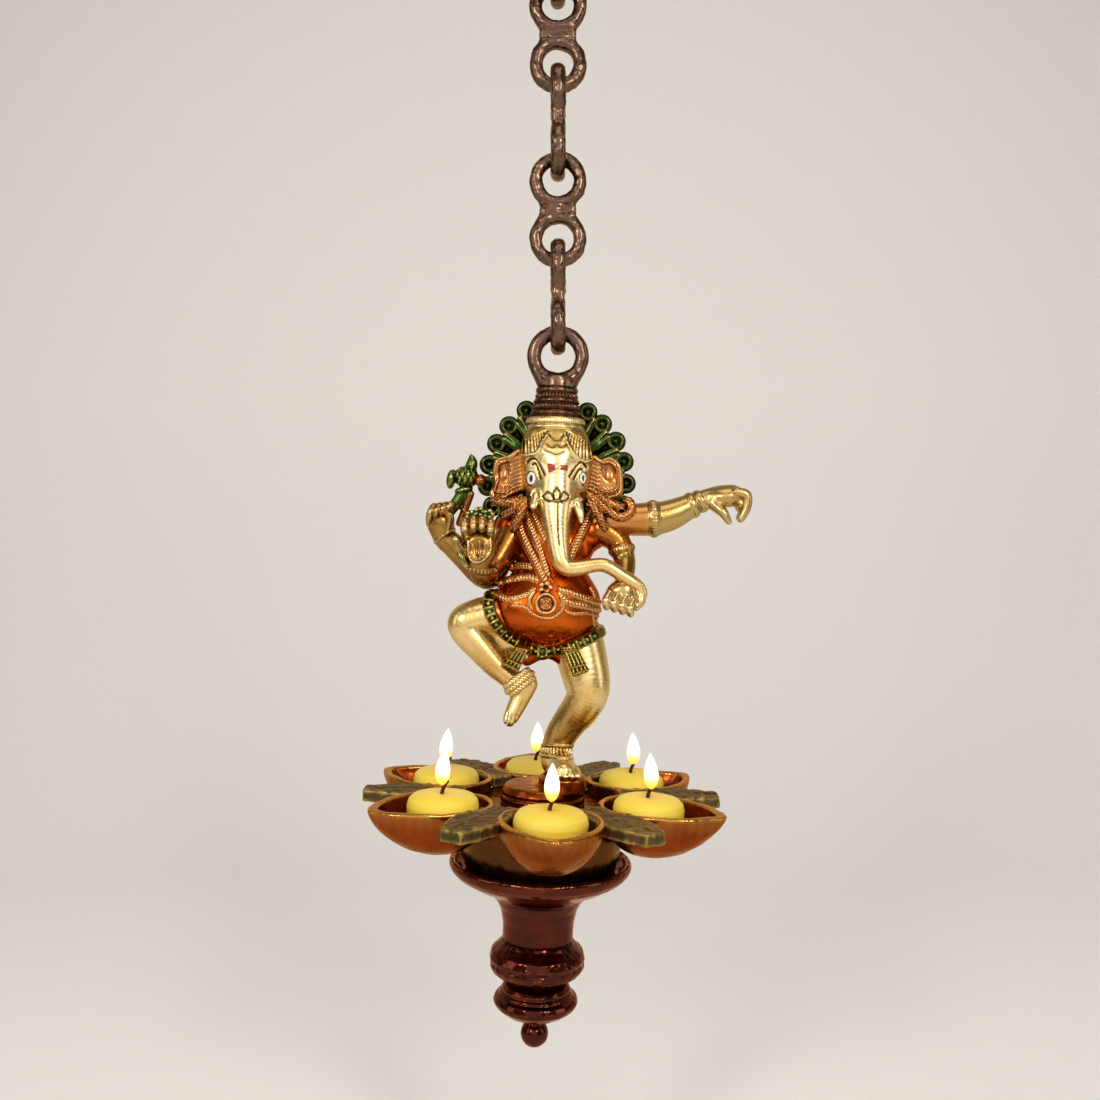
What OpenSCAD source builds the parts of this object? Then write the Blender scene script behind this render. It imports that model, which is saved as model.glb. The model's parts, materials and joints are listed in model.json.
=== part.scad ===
// Hanging oil lamp: a dancing elephant-headed figure on a six-bowl tray,
// hung from a chain of figure-eight links.
// The origin is the centre of the top link's upper hole, and +Z is up. The figure faces -Y.

/* [Chain] */
// Radius of both holes of a link
link_hole_r = 8.25; // [7.5:0.05:9.5]
// Radial width of a link's ring
link_wall = 7.5; // [6.5:0.1:7.7]
// Thickness of a link along its hole
link_thick = 8; // [7:0.1:9]
// Rounding of the edges of links and of the crown eye
link_edge_r = 3; // [2:0.1:3.2]
// Distance between a link's two hole centres
link_spacing = 32; // [31:0.1:36]
// Width of the flat band that joins a link's two rings
link_bridge_w = 20; // [16:0.5:26]
// Height of that band
link_bridge_h = 9; // [6:0.5:12]
// Clearance where one ring hangs in the next
hang_gap = 0.5; // [0.4:0.05:0.8]

/* [Crown eye] */
// Radius of the eye's hole
eye_hole_r = 9; // [8.5:0.1:11]
// Radial width of the eye's ring
eye_wall = 8; // [6.8:0.1:9]
// Thickness of the eye's ring
eye_thick = 8.4; // [7:0.1:9.5]
// Radius of the turned neck under the eye, at its narrowest
neck_r = 9.2; // [8.6:0.1:11]
// Radius of the neck's base
neck_base_r = 14.3; // [13:0.1:15.5]
// Height of the eye's centre over the neck's base
neck_h = 34.7; // [31:0.1:42]
// Radius of the rounded ribs round the neck
neck_rib_r = 1.5; // [1:0.1:1.8]

/* [Head band] */
// Outer radius of the double bead band
band_r = 16.6; // [15.6:0.1:18]
// Height of the band
band_h = 6; // [5:0.1:8]

/* [Figure] */
// Height of the flat top of the headdress over the sole
figure_h = 187.5; // [183:0.5:196]
// Radius of that flat top
head_top_r = 15.8; // [14:0.1:17]
// Half width of the head
head_half_w = 20.5; // [18:0.5:23]
// Half width of the belly
belly_half_w = 28.6; // [26:0.2:31]
// Half depth of the belly
belly_half_d = 24; // [21:0.2:27]
// Half width of an ear
ear_half_w = 7.6; // [6:0.1:9]
// Half height of an ear
ear_half_h = 14; // [11:0.5:16]
// Thickness of an ear
ear_thick = 5; // [3.5:0.1:7]
// Thickness of the rope belt on the belly
rope_d = 4.4; // [3.4:0.1:5.5]
// Thickness of the patterned hip belt
belt_d = 7.5; // [6:0.1:9]
// Radius of the round buckle of the hip belt
buckle_r = 5; // [4:0.1:6]

/* [Halo] */
// Radius of the circle on which the curls sit
halo_r = 38; // [36:0.5:42]
// Radius of a curl
curl_r = 4.8; // [4:0.1:5.4]
// Number of curls
curl_count = 12; // [10:1:13]
// Angle between two curls
curl_step = 18; // [16:0.5:20]
// Thickness of the halo's plate
halo_thick = 3; // [2:0.1:4]
// How far the curls stand out of the plate on both faces
curl_out = 1; // [0.5:0.1:1.5]
// Distance of the halo's front face behind the lamp's axis
halo_back = 11; // [10:0.1:13]
// Depth below the halo's centre at which its lower edges meet
halo_notch = 10; // [8:0.5:12]

/* [Foot pedestal] */
// Radius of the lower tier
base_r = 23; // [20:0.5:26]
// Height of the lower tier
base_h = 11; // [7:0.5:12]
// Radius of the upper tier, under the sole
step_r = 13; // [11:0.5:15]
// Height of the upper tier
step_h = 6; // [4:0.5:9]

/* [Tray] */
// Radius of the circle of bowl centres
bowl_pitch_r = 62; // [60:0.5:68]
// Half width of a bowl, which is also its depth
bowl_half_w = 26.5; // [25:0.25:28]
// Length from a bowl's centre to its tip
bowl_tip = 42.5; // [38:0.5:48]
// Wall of a bowl
bowl_wall = 3; // [2:0.1:4]
// Extra metal in the pointed tip
tip_wall = 3; // [1:0.5:5]
// Length of a leaf tab
leaf_length = 56; // [50:0.5:60]
// Width of a leaf tab
leaf_w = 27; // [22:0.5:29]
// Thickness of a leaf tab
leaf_thick = 6.5; // [3.5:0.1:8]
// Width of a leaf tab's blunt ends
leaf_end_w = 11; // [7:0.5:14]
// Distance of the leaf tips from the axis
leaf_tip_r = 98; // [92:0.5:102]
// How far the leaf tabs lie below the rims
leaf_drop = 0.5; // [0:0.1:1.5]
// Radius of the hub that carries the bowls
hub_r = 46; // [44:0.5:50]
// Thickness of the hub
hub_thick = 13; // [10:0.5:17]
// Radius of the hub's tapered boss where it stands on the saucer
boss_r = 41; // [30:0.5:42]
// Turn of the tray about its axis, so that the front bowl is a little to the right
tray_yaw = 4; // [-10:0.5:10]

/* [Stem] */
// Radius of the saucer
saucer_r = 50; // [46:0.5:53]
// Height of the saucer's rim over its seat
saucer_lip = 6; // [4:0.5:8]
// Depth of the saucer's seat below the bowl rims
saucer_depth = 43; // [40:0.5:48]
// Height of the saucer from its seat to its lower face
saucer_h = 15; // [13:0.5:18]
// Radius of the saucer's lower face
saucer_foot_r = 26; // [24:0.5:29]
// Least radius of the column
column_r = 19.2; // [17:0.2:22]
// Height of the column
column_h = 23; // [20:0.5:28]
// Radius of the knop
knop_r = 26.4; // [24:0.2:29]
// Height of the knop
knop_h = 22; // [20:0.5:26]
// Radius of the waist under the knop
waist_r = 15; // [13:0.2:17]
// Radius of the lower disc
disc_r = 23; // [21:0.2:25]
// Height of the lower disc with its taper
disc_h = 23; // [20:0.5:27]
// Radius at the taper's lower end
taper_r = 6; // [5:0.1:7]
// Radius of the ball finial
ball_r = 7.7; // [7:0.1:9]
// Radius of the tie rod
rod_r = 3; // [2.5:0.1:3.4]
// Across flats of the lock nut
nut_flats = 10; // [9:0.5:13]
// Thickness of the lock nut
nut_h = 5; // [4:0.5:6]

/* [Candles] */
// Radius of a candle at its shoulder
candle_r = 19; // [17:0.25:20.5]
// Radius of a candle's flat bottom
candle_foot_r = 15; // [13:0.25:16.5]
// Height of a candle from its bottom to its shoulder
candle_h = 17.5; // [14:0.5:20]
// Height of the domed top
candle_dome = 5; // [3:0.25:6]
// Radius of a wick
wick_r = 0.8; // [0.6:0.05:1.2]
// Length of a wick above the wax
wick_out = 5; // [3:0.5:8]
// Length of a wick inside the wax
wick_in = 9; // [6:0.5:12]

/* [Pose] */
// How far the lamp leans at rest, with its foot towards -X
lamp_lean = 2; // [-4:0.25:4]

/* [Hidden] */
// Clearance of a rod or wick in its hole
slip = 0.05;
// Clearance of a loose candle in its bowl
candle_gap = 0.3;
// Steps in a quarter of a round profile
arc_steps = 8;
// Sides of the figure's limbs, of its large and small rounded forms, and of its fingers
limb_fn = 12;
blob_fn = 20;
small_fn = 14;
finger_fn = 8;
band_fn = 6;
bowl_count = 6;
link_count = 5;
// Part of the neck's height over which it flares
flare_part = 0.52;
rib_count = 3;
// A length past every edge, for cuts
far = 400;
// Outlines of the knop, the small tiers and the lower disc from the top,
// in parts of the height and of the radius
knop_line = [[0.04, 0.75], [0.12, 0.79], [0.3, 0.95], [0.44, 1], [0.51, 0.985], [0.55, 0.95], [0.59, 0.98],
    [0.67, 0.985], [0.78, 0.93], [0.9, 0.8], [0.97, 0.66]];
tier_line = [[0.07, 0.58], [0.14, 0.76], [0.22, 0.82], [0.28, 0.8], [0.32, 0.875], [0.365, 0.865]];
disc_line = [[0.42, 0.97], [0.52, 1], [0.62, 0.965], [0.78, 0.775], [0.94, 0.44]];

// Chain: where each ring hangs
link_pitch = link_spacing + 2 * link_hole_r - hang_gap;
function link_z(i) = -link_spacing / 2 - (i - 1) * link_pitch;
eye_z = link_z(link_count) - link_spacing / 2 - link_hole_r - eye_hole_r + hang_gap;

// Lamp: heights over the plane of the bowl rims
hub_top = -leaf_drop - leaf_thick;
hub_low = hub_top - hub_thick;
sole_z = hub_top + base_h + step_h;
band_z = sole_z + figure_h;
neck_z = band_z + band_h;
eye_h = neck_z + neck_h;
saucer_top = -saucer_depth;
column_top = saucer_top - saucer_h;
knop_top = column_top - column_h;
disc_top = knop_top - knop_h;
ball_top = disc_top - disc_h;
ball_seat_r = taper_r - 1.5;
ball_z = ball_top - sqrt(ball_r * ball_r - ball_seat_r * ball_seat_r);
rod_low = ball_z;
rod_top = hub_top + base_h - 2;

// Bowls and candles
bowl_inner_w = bowl_half_w - bowl_wall;
bowl_inner_tip = bowl_tip - bowl_wall - tip_wall;
candle_seat_r = bowl_inner_w - candle_gap;
candle_low = -sqrt(candle_seat_r * candle_seat_r - candle_foot_r * candle_foot_r);
candle_top = candle_low + candle_h + candle_dome;

// The figure's places, in millimetres from the sole, as x, y, z and a radius
head_drop = 24.5;
head_at = [2, -1, figure_h - head_drop];
trunk_line = [
    [1.6, -13, 150, 9.8], [1.9, -17.5, 139, 7.8], [3, -21, 127, 6.2], [4.6, -23.5, 118.5, 5.3],
    [9.4, -25, 113, 4.6], [17, -25.5, 113.6, 4.1], [26, -25.5, 115.2, 3.8], [33, -25.6, 113.2, 3.7], [41, -26, 108.2, 3.6],
    [47.5, -26, 103.8, 3], [48.3, -26.8, 97.5, 2.3]
];
long_tusk = [[12.4, -12.5, 149, 3.2], [13.8, -18, 144.8, 2.6], [15.3, -20.5, 137.5, 1.2]];
short_tusk = [[-8.6, -13, 151.5, 3.2], [-10.3, -19.2, 145.2, 2.1]];
left_ear_at = head_at + [-26.8, 3, -2.5];
right_ear_at = head_at + [28, 3, -1.5];
chest_at = [1, -2, 125];
chest_size = [23.5, 15, 12.5];
breast_line = [[-10, -9, 125, 9], [12, -9, 125, 9]];
belly_at = [0, -3, 93];
belly_half_h = 23;
hips_at = [-1, 1, 73];
hips_size = [26, 17, 11];
left_shoulder = [-20, 0, 132, 9.5];
right_shoulder = [23, 0, 133, 9.5];
raised_arm_line = [
    [-20, 0.5, 132, 9.2], [-28, 1.5, 117, 8.2], [-35, 2.2, 106.5, 7.6], [-48, 2.6, 117, 7],
    [-59, 2.8, 127, 6.5], [-61.5, 2, 135, 6.8]
];
palm_arm_line = [
    [-22, -2, 130, 8.5], [-30, -9, 114, 6.8], [-34.5, -14.5, 107.5, 6.2], [-37.5, -19.5, 110, 5.7],
    [-38.5, -21.5, 115, 5.4]
];
extended_arm_line = [
    [23, 0, 134, 9.4], [40, -2.5, 139.8, 8.9], [54, -3, 140.8, 9.2], [65.5, -3, 143.7, 8.3],
    [76, -3.2, 149, 6.5], [86, -4.5, 153, 5.6], [97, -6, 155.3, 5.2]
];
lower_arm_line = [
    [27, -3, 134, 8.5], [36, -5, 128, 6.8], [40, -9, 117, 5.9], [39.5, -16, 109, 5.3], [39.5, -22, 103, 5.2]
];
sweet_at = [38.5, -23, 97.5];
sweet_size = [9.4, 6, 6.5];
raised_leg_line = [
    [-14, -4, 83, 13], [-30, -10, 85.5, 11], [-44.5, -14, 80.5, 9.4], [-36, -15, 68.5, 8],
    [-27, -16, 59, 6.8], [-17, -17.5, 51, 6], [-12.5, -18.5, 47, 6], [-17, -20.5, 36, 5], [-20, -22, 30.5, 3.2]
];
standing_leg_line = [
    [14, -1, 76, 15], [20, -5.5, 60, 13.6], [22.6, -8, 45.5, 11.3], [15, -4.5, 31, 9.7],
    [7.6, -0.8, 16.5, 8.2], [6.4, 1, 6, 7.6]
];
foot_line = [[7, 2, 5, 7], [9.5, -8, 4.6, 7.2], [11, -16.5, 3.2, 5.4]];
mace_at = [-47.5, 0, 159.5];
mace_size = [8.8, 7.5, 8.6];
mace_tip = [-44.6, 0, 171, 1.6];
mace_bulb = [[-40, -1, 158.5, 3.8], [-43, -1, 159, 4]];
mace_stalk = [[-59, 0, 137, 2.6], [-55.5, 0, 144, 3.2], [-51, 0, 153, 4.2]];
rope_belt_high = 98;
rope_belt_low = 95;
medallion_line = [[-1.9, -26, 94.8, 5.6], [-1.9, -27, 94.8, 5]];
hip_belt_high = 84;
hip_belt_low = 67;
hip_belt_room = [0.5, 0.5];
buckle_at = [-3, -17];
tassels = [[[-13, -20, 69, 2.6], [-20, -21, 60, 2.4], [-23, -20, 56, 1.6]],
    [[9, -20, 68, 2.6], [15, -20, 60, 2.4], [19, -19, 54, 1.6]]];
step_at = [10.5, -6];

// Bands on the arms and legs: the place, the way the limb runs, the ring's radius and its wire's
extended_bands = [[[55.2, -3, 141], [1, 0, 0.1], 8.9, 1.7], [[77.6, -3.4, 149.9], [1, 0, 0.45], 6, 1.4],
    [[80.8, -3.8, 151.2], [1, 0, 0.45], 5.8, 1.4]];
palm_bands = [[[-38, -20.4, 112], [-0.1, -0.35, 1], 6, 1.5]];
lower_bands = [[[38.6, -7.4, 123.2], [0.35, -0.35, -1], 6.4, 1.6]];
raised_leg_bands = [[[-17, -17.6, 51.4], [0.54, -0.1, -0.84], 7.4, 1.7],
    [[-14.8, -18, 49], [0.54, -0.1, -0.84], 7.4, 1.7]];
standing_leg_bands = [[[6.6, 0.7, 9.4], [0, -0.15, 1], 7.8, 1.8]];
// Hands: the first finger's line, and the step from each finger to the next
finger_count = 4;
raised_finger = [[-66, -3, 135, 2.2], [-66.5, -6.5, 139.5, 2.1], [-63.5, -6, 143.3, 2]];
raised_spread = [[3.3, 0, 2, 0], [3.3, 0, 1.6, 0], [3.1, 0, 0.6, 0]];
palm_line = [[-38.5, -22, 117], [-38.5, -22, 125]];
palm_finger = [[-45.2, -21.5, 127, 2.5], [-46, -23, 132.5, 2.4], [-45.7, -25.5, 137.4, 2.1]];
palm_spread = [[4.1, 0, 0, 0], [4.5, 0, 0, 0], [4.5, 0, 0, 0]];
palm_thumb = [[-44, -23, 117, 2.8], [-49, -25, 121.5, 2.6], [-50.5, -26, 125.5, 2.2]];
extended_finger = [[99.5, -11.2, 156, 2.4], [105.2, -11.6, 152.5, 2.4], [103.4, -11.8, 142.2, 2]];
extended_spread = [[0.2, 3.3, 0, 0], [0, 3.3, 0, 0], [0.2, 3.3, 0.1, 0]];
extended_thumb = [[88, -8, 150.5, 3], [91.5, -11.5, 146, 2.6], [95, -12.5, 140.5, 1.8]];
lower_finger = [[31.5, -27, 99, 2.4], [29.7, -29.8, 96.5, 2.3], [30.2, -28.5, 93.3, 2]];
lower_spread = [[4.2, 0, -1.2, 0], [4.2, 0, -1.2, 0], [4.2, 0, -1.1, 0]];

// Points of an arc about [x, y], with its ends
function arc(x, y, r, from, to, steps = arc_steps) =
    [for (i = [0 : steps]) let (a = from + (to - from) * i / steps) [x + r * cos(a), y + r * sin(a)]];

// A smooth line through the given points
function between(a, b, c, d, t) =
    b + (c - a) * t / 2 + (a - 2.5 * b + 2 * c - d / 2) * t * t
    + (1.5 * b - a / 2 - 1.5 * c + d / 2) * t * t * t;
function smooth(line, steps = 3) = concat(
    [for (i = [0 : len(line) - 2]) for (k = [0 : steps - 1])
        between(line[max(i - 1, 0)], line[i], line[i + 1], line[min(i + 2, len(line) - 1)], k / steps)],
    [line[len(line) - 1]]
);

// Outline of a ring's section: hole radius, wall, thickness and edge rounding
function ring_section(hole, wall, thick, edge) = concat(
    arc(hole + edge, edge - thick / 2, edge, 180, 270),
    arc(hole + wall - edge, edge - thick / 2, edge, 270, 360),
    arc(hole + wall - edge, thick / 2 - edge, edge, 0, 90),
    arc(hole + edge, thick / 2 - edge, edge, 90, 180)
);

// A ring that faces -Y, with a true round hole
module ring(hole, wall, thick)
    rotate([90, 0, 0]) rotate_extrude($fn = 72) polygon(ring_section(hole, wall, thick, link_edge_r));

// One figure-eight link, facing -Y
module link() {
    for (side = [-1, 1])
        translate([0, 0, side * link_spacing / 2]) ring(link_hole_r, link_wall, link_thick);
    cube([link_bridge_w, link_thick, link_bridge_h], center = true);
}

// Odd links are edge-on to the front, even links face it
module chain_link(i)
    color("dimgray") translate([0, 0, link_z(i)]) rotate([0, 0, i % 2 == 1 ? 90 : 0]) link();

// The whole lamp hangs and leans from the crown eye's centre
module hang() translate([0, 0, eye_z]) rotate([0, lamp_lean, 0]) translate([0, 0, -eye_h]) children();

module on_sole() hang() translate([0, 0, sole_z]) children();

// A turned rib
module rib(r, z) translate([0, 0, z]) rotate_extrude($fn = 72) translate([r, 0]) circle(neck_rib_r, $fn = 24);

module crown_eye() color("dimgray") hang() {
    neck_top = neck_h - eye_hole_r - eye_wall / 2;
    eye_side = (eye_hole_r + eye_wall - link_edge_r / 2) / sqrt(2);
    eye_web = eye_thick - link_edge_r;
    flare = neck_base_r - neck_r;
    translate([0, 0, eye_h]) ring(eye_hole_r, eye_wall, eye_thick);
    translate([0, eye_web / 2, eye_h]) rotate([90, 0, 0]) linear_extrude(eye_web) difference() {
        polygon([[eye_side, -eye_side], [-eye_side, -eye_side], [-neck_r, neck_top - neck_h],
            [neck_r, neck_top - neck_h]]);
        circle(eye_hole_r + eye_wall / 2, $fn = 72);
    }
    translate([0, 0, neck_z]) rotate_extrude($fn = 72)
        polygon(concat([[0, neck_top], [0, 0]],
            [for (i = [0 : arc_steps]) let (t = i / arc_steps)
                [neck_r + flare * (1 - t) * (1 - t), neck_h * flare_part * t]],
            [[neck_r - neck_rib_r, neck_top]]));
    for (i = [1 : rib_count])
        let (t = i / (rib_count + 0.5))
            rib(neck_r + flare * (1 - t) * (1 - t) - neck_rib_r / 4, neck_z + neck_h * flare_part * t);
}

// Two stacked half-round bands
module head_band() color("gold") hang() translate([0, 0, band_z])
    rotate_extrude($fn = 72) polygon(concat([[0, 0]],
        arc(band_r - band_h / 4, band_h / 4, band_h / 4, -90, 80),
        arc(band_r - band_h / 4, band_h * 3 / 4, band_h / 4, -80, 90), [[0, band_h]]));

// Rounded forms of the figure
module ball(s, fn) translate([s[0], s[1], s[2]]) sphere(s[3], $fn = fn);

module blob(at, size, fn = blob_fn) translate(at) scale(size) sphere(1, $fn = fn);

module limb(line, fn = limb_fn)
    for (i = [0 : len(line) - 2]) hull() {
        ball(line[i], fn);
        ball(line[i + 1], fn);
    }

module bands(list)
    for (b = list)
        translate(b[0]) rotate([0, acos(b[1][2] / norm(b[1])), atan2(b[1][1], b[1][0])])
            rotate_extrude($fn = small_fn) translate([b[2], 0]) circle(b[3], $fn = band_fn);

module fingers(line, spread)
    for (i = [0 : finger_count - 1])
        limb([for (k = [0 : len(line) - 1]) line[k] + i * spread[k]], finger_fn);

module head_form() {
    top_at = [head_at[0] / 2, 0, figure_h - 9.5];
    hull() {
        translate([0, 0, figure_h - 1]) cylinder(h = 1, r = head_top_r, $fn = 32);
        blob(top_at, [head_half_w, 17, 7.5]);
    }
    hull() {
        blob(top_at, [head_half_w - 0.5, 17, 7.5]);
        blob(head_at, [head_half_w, 17, 14]);
    }
    hull() {
        blob(head_at - [0, 3, 6], [head_half_w - 2.5, 14, 9]);
        ball(trunk_line[0], limb_fn);
    }
    hull() {
        blob(head_at + [0, 3, -6], [14, 11, 9]);
        blob(head_at + [-1, 3, -24], [14, 11, 9]);
    }
    limb(trunk_line);
    limb(long_tusk, finger_fn);
    limb(short_tusk, finger_fn);
}

module torso_form() {
    for (shoulder = [left_shoulder, right_shoulder]) hull() {
        blob(chest_at, chest_size);
        ball(shoulder, limb_fn);
    }
    hull() {
        blob(chest_at, chest_size - [1, 0, 0]);
        blob(belly_at + [0, 4, 8], [belly_half_w - 4, belly_half_d - 6, belly_half_h - 7]);
    }
    hull() {
        blob(belly_at, [belly_half_w, belly_half_d, belly_half_h]);
        blob(belly_at + [0, 3, 5], [belly_half_w - 2, belly_half_d - 4, belly_half_h - 2]);
    }
    hull() {
        blob(belly_at + [0, 4, -4], [belly_half_w - 2, belly_half_d - 6, belly_half_h - 7]);
        blob(hips_at, hips_size);
    }
    for (side = [-1, 1]) hull() {
        blob(hips_at + [side * 10, 8, 2], hips_size / 2 + [0, 4, 6]);
        blob(hips_at + [side * 11, 5, 6], hips_size / 2 + [0, 4, 5]);
    }
    limb(breast_line);
}

module head() color("goldenrod") on_sole() difference() {
    head_form();
    torso_form();
    translate([-far / 2, halo_back, 0]) cube([far, far, far]);
}

module ear_form(at, side) {
    hull() {
        blob(at, [ear_half_w, ear_thick / 2, ear_half_h], small_fn);
        blob(at - [side * ear_half_w, 1, 0], [4, ear_thick / 2, ear_half_h - 3], small_fn);
    }
    hull() {
        blob(at + [side * ear_half_w * 0.6, 0.5, 2], [2.2, ear_thick * 0.7, ear_half_h - 3], finger_fn);
        blob(at + [side * ear_half_w * 0.3, 0.5, -ear_half_h * 0.7], [2.2, ear_thick * 0.7, 3], finger_fn);
    }
}

module left_ear() color("chocolate") on_sole() difference() {
    ear_form(left_ear_at, -1);
    head_form();
    torso_form();
    limb(raised_arm_line);
    limb(palm_arm_line);
}

module right_ear() color("chocolate") on_sole() difference() {
    ear_form(right_ear_at, 1);
    head_form();
    torso_form();
    limb(extended_arm_line);
    limb(lower_arm_line);
}

// Angle of a curl on the halo, from the figure's left round to its right
function curl_angle(i) = 90 + (i - (curl_count - 1) / 2) * curl_step;

// The plate ends below the last curls, where its lower edges run in to the notch
module halo_plate() {
    open_angle = 90 - (curl_count - 1) / 2 * curl_step;
    difference() {
        cylinder(h = halo_thick, r = halo_r - 1, $fn = 96);
        translate([0, 0, -1]) linear_extrude(halo_thick + 2)
            polygon([[0, halo_notch], far * [cos(open_angle), -sin(open_angle)], [far, far], [-far, far],
                far * [-cos(open_angle), -sin(open_angle)]]);
    }
}

module curl() difference() {
    cylinder(h = halo_thick + 2 * curl_out, r = curl_r, $fn = 32);
    translate([0, 0, -curl_out]) cylinder(h = 2 * curl_out, r = curl_r * 0.4, $fn = 24);
}

// No curls are behind the neck, and the plate is cut away for the band and the neck
module halo() color("darkolivegreen") on_sole() difference() {
    translate([head_at[0], halo_back, head_at[2] - 1]) rotate([-90, 0, 0]) {
        halo_plate();
        for (i = [0 : curl_count - 1]) if (abs(curl_angle(i) - 90) > curl_step)
            rotate([0, 0, -curl_angle(i)]) translate([halo_r, 0, -curl_out]) curl();
    }
    translate([0, 0, figure_h]) cylinder(h = far, r = band_r, $fn = 72);
}

module torso() color("chocolate") on_sole() torso_form();

// Points of a belt round an oval, which sinks from its height at the back to its low point in front
function ring_line(at, size, low, high, r, from, to, steps) =
    [for (i = [0 : steps]) let (a = from + (to - from) * i / steps)
        [at[0] + size[0] * cos(a), at[1] + size[1] * sin(a), high + (low - high) * max(0, -sin(a)), r]];

module rope_belt_form() {
    limb(ring_line(belly_at, [belly_half_w, belly_half_d], rope_belt_low, rope_belt_high, rope_d / 2, -165, -5, 14),
        finger_fn);
    limb(medallion_line);
}

module rope_belt() color("peru") on_sole() difference() {
    rope_belt_form();
    torso_form();
    limb(palm_arm_line);
    limb(raised_leg_line);
    limb(raised_arm_line);
}

module hip_belt_form() {
    size = [hips_size[0], hips_size[1]] + hip_belt_room;
    limb(ring_line(hips_at, size, hip_belt_low, hip_belt_high, belt_d / 2, 0, 360, 18), finger_fn);
    limb([[buckle_at[0], buckle_at[1], hip_belt_low, buckle_r],
        [buckle_at[0], buckle_at[1] - 2, hip_belt_low, buckle_r - 1.4]]);
    for (t = tassels) limb(t, finger_fn);
}

module hip_belt() color("olivedrab") on_sole() difference() {
    hip_belt_form();
    torso_form();
    raised_leg_form();
    standing_leg_form();
    limb(palm_arm_line);
    limb(raised_arm_line);
    rope_belt_form();
}

module raised_arm_form() {
    limb(raised_arm_line);
    fingers(raised_finger, raised_spread);
}

module raised_arm() color("goldenrod") on_sole() difference() {
    raised_arm_form();
    torso_form();
}

module palm_arm_form() {
    limb(palm_arm_line);
    hull() {
        blob(palm_line[0], [8, 4.6, 6], small_fn);
        blob(palm_line[1], [9.6, 4, 6], small_fn);
    }
    fingers(palm_finger, palm_spread);
    limb(palm_thumb, finger_fn);
    bands(palm_bands);
}

module palm_arm() color("peru") on_sole() difference() {
    palm_arm_form();
    torso_form();
    raised_arm_form();
}

module extended_arm_form() {
    limb(extended_arm_line);
    fingers(extended_finger, extended_spread);
    limb(extended_thumb, finger_fn);
    bands(extended_bands);
}

module extended_arm() color("goldenrod") on_sole() difference() {
    extended_arm_form();
    torso_form();
    head_form();
}

module lower_arm_form() {
    limb(lower_arm_line);
    hull() {
        blob(sweet_at, sweet_size, small_fn);
        blob(sweet_at + [0, 1, 4], sweet_size - [1, 0.5, 1.5], small_fn);
    }
    fingers(lower_finger, lower_spread);
    bands(lower_bands);
}

module lower_arm() color("peru") on_sole() difference() {
    lower_arm_form();
    torso_form();
    head_form();
    extended_arm_form();
}

module mace_form() {
    limb(mace_stalk, finger_fn);
    hull() {
        blob(mace_at, mace_size, small_fn);
        ball(mace_tip, finger_fn);
    }
    limb(mace_bulb);
}

module mace() color("darkgreen") on_sole() difference() {
    mace_form();
    raised_arm_form();
}

module raised_leg_form() {
    limb(raised_leg_line);
    bands(raised_leg_bands);
}

module standing_leg_form() {
    limb(standing_leg_line);
    limb(foot_line);
    bands(standing_leg_bands);
}

module raised_leg() color("gold") on_sole() difference() {
    raised_leg_form();
    torso_form();
    raised_arm_form();
    palm_arm_form();
}

module standing_leg() color("gold") on_sole() difference() {
    standing_leg_form();
    torso_form();
    raised_leg_form();
    translate([-far / 2, -far / 2, -far]) cube(far);
}

module foot_pedestal() color("chocolate") hang() difference() {
    union() {
        translate([0, 0, hub_top]) cylinder(h = base_h, r = base_r, $fn = 72);
        translate([step_at[0], step_at[1], hub_top]) cylinder(h = base_h + step_h, r = step_r, $fn = 72);
    }
    rod(slip);
}

// The tie rod, with room round it where a hole is cut
module rod(room) translate([0, 0, rod_low - room])
    cylinder(h = rod_top - rod_low + 2 * room, r = rod_r + room, $fn = 48);

// Profile of a bowl turned about its length: a round inner end and a pointed tip
function bowl_outline(half_w, tip) = concat(
    arc(0, 0, half_w, -90, 0),
    [for (i = [1 : arc_steps]) let (t = i / arc_steps) [half_w * pow(1 - t * t, 0.75), tip * t]]
);

module spindle(half_w, tip)
    rotate([0, 90, 0]) rotate_extrude($fn = 72) polygon(bowl_outline(half_w, tip));

function bowl_angle(i) = -90 + tray_yaw + (i - 1) * 360 / bowl_count;

module at_bowl(i) rotate([0, 0, bowl_angle(i)]) translate([bowl_pitch_r, 0, 0]) children();

module bowl(i) color("sienna") hang() at_bowl(i) difference() {
    spindle(bowl_half_w, bowl_tip);
    spindle(bowl_inner_w, bowl_inner_tip);
    translate([-far / 2, -far / 2, 0]) cube(far);
}

module tray_hub() color("sienna") hang() difference() {
    union() {
        translate([0, 0, hub_low]) cylinder(h = hub_thick, r = hub_r, $fn = 96);
        translate([0, 0, saucer_top]) cylinder(h = hub_low - saucer_top, r1 = boss_r, r2 = hub_r, $fn = 96);
    }
    for (i = [1 : bowl_count]) at_bowl(i) spindle(bowl_half_w, bowl_tip);
    translate([0, 0, saucer_top - 1]) cylinder(h = nut_h + 2, r = nut_flats / sqrt(3) + 1, $fn = 48);
    rod(slip);
}

// A leaf with blunt ends, cut to the bowls on both sides of it
module leaf(i) color("darkolivegreen") hang() difference() {
    half = leaf_length / 2;
    swell = (leaf_w - leaf_end_w) / 2;
    side_r = (half * half + swell * swell) / (2 * swell);
    rotate([0, 0, bowl_angle(i + 0.5)]) translate([leaf_tip_r - half, 0, hub_top]) linear_extrude(leaf_thick)
        intersection() {
            square([leaf_length, leaf_w], center = true);
            translate([0, side_r - leaf_w / 2]) circle(side_r, $fn = 96);
            translate([0, leaf_w / 2 - side_r]) circle(side_r, $fn = 96);
        }
    at_bowl(i) spindle(bowl_half_w, bowl_tip);
    at_bowl(i + 1) spindle(bowl_half_w, bowl_tip);
    translate([0, 0, hub_top - 1]) cylinder(h = base_h, r = base_r, $fn = 72);
}

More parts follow.
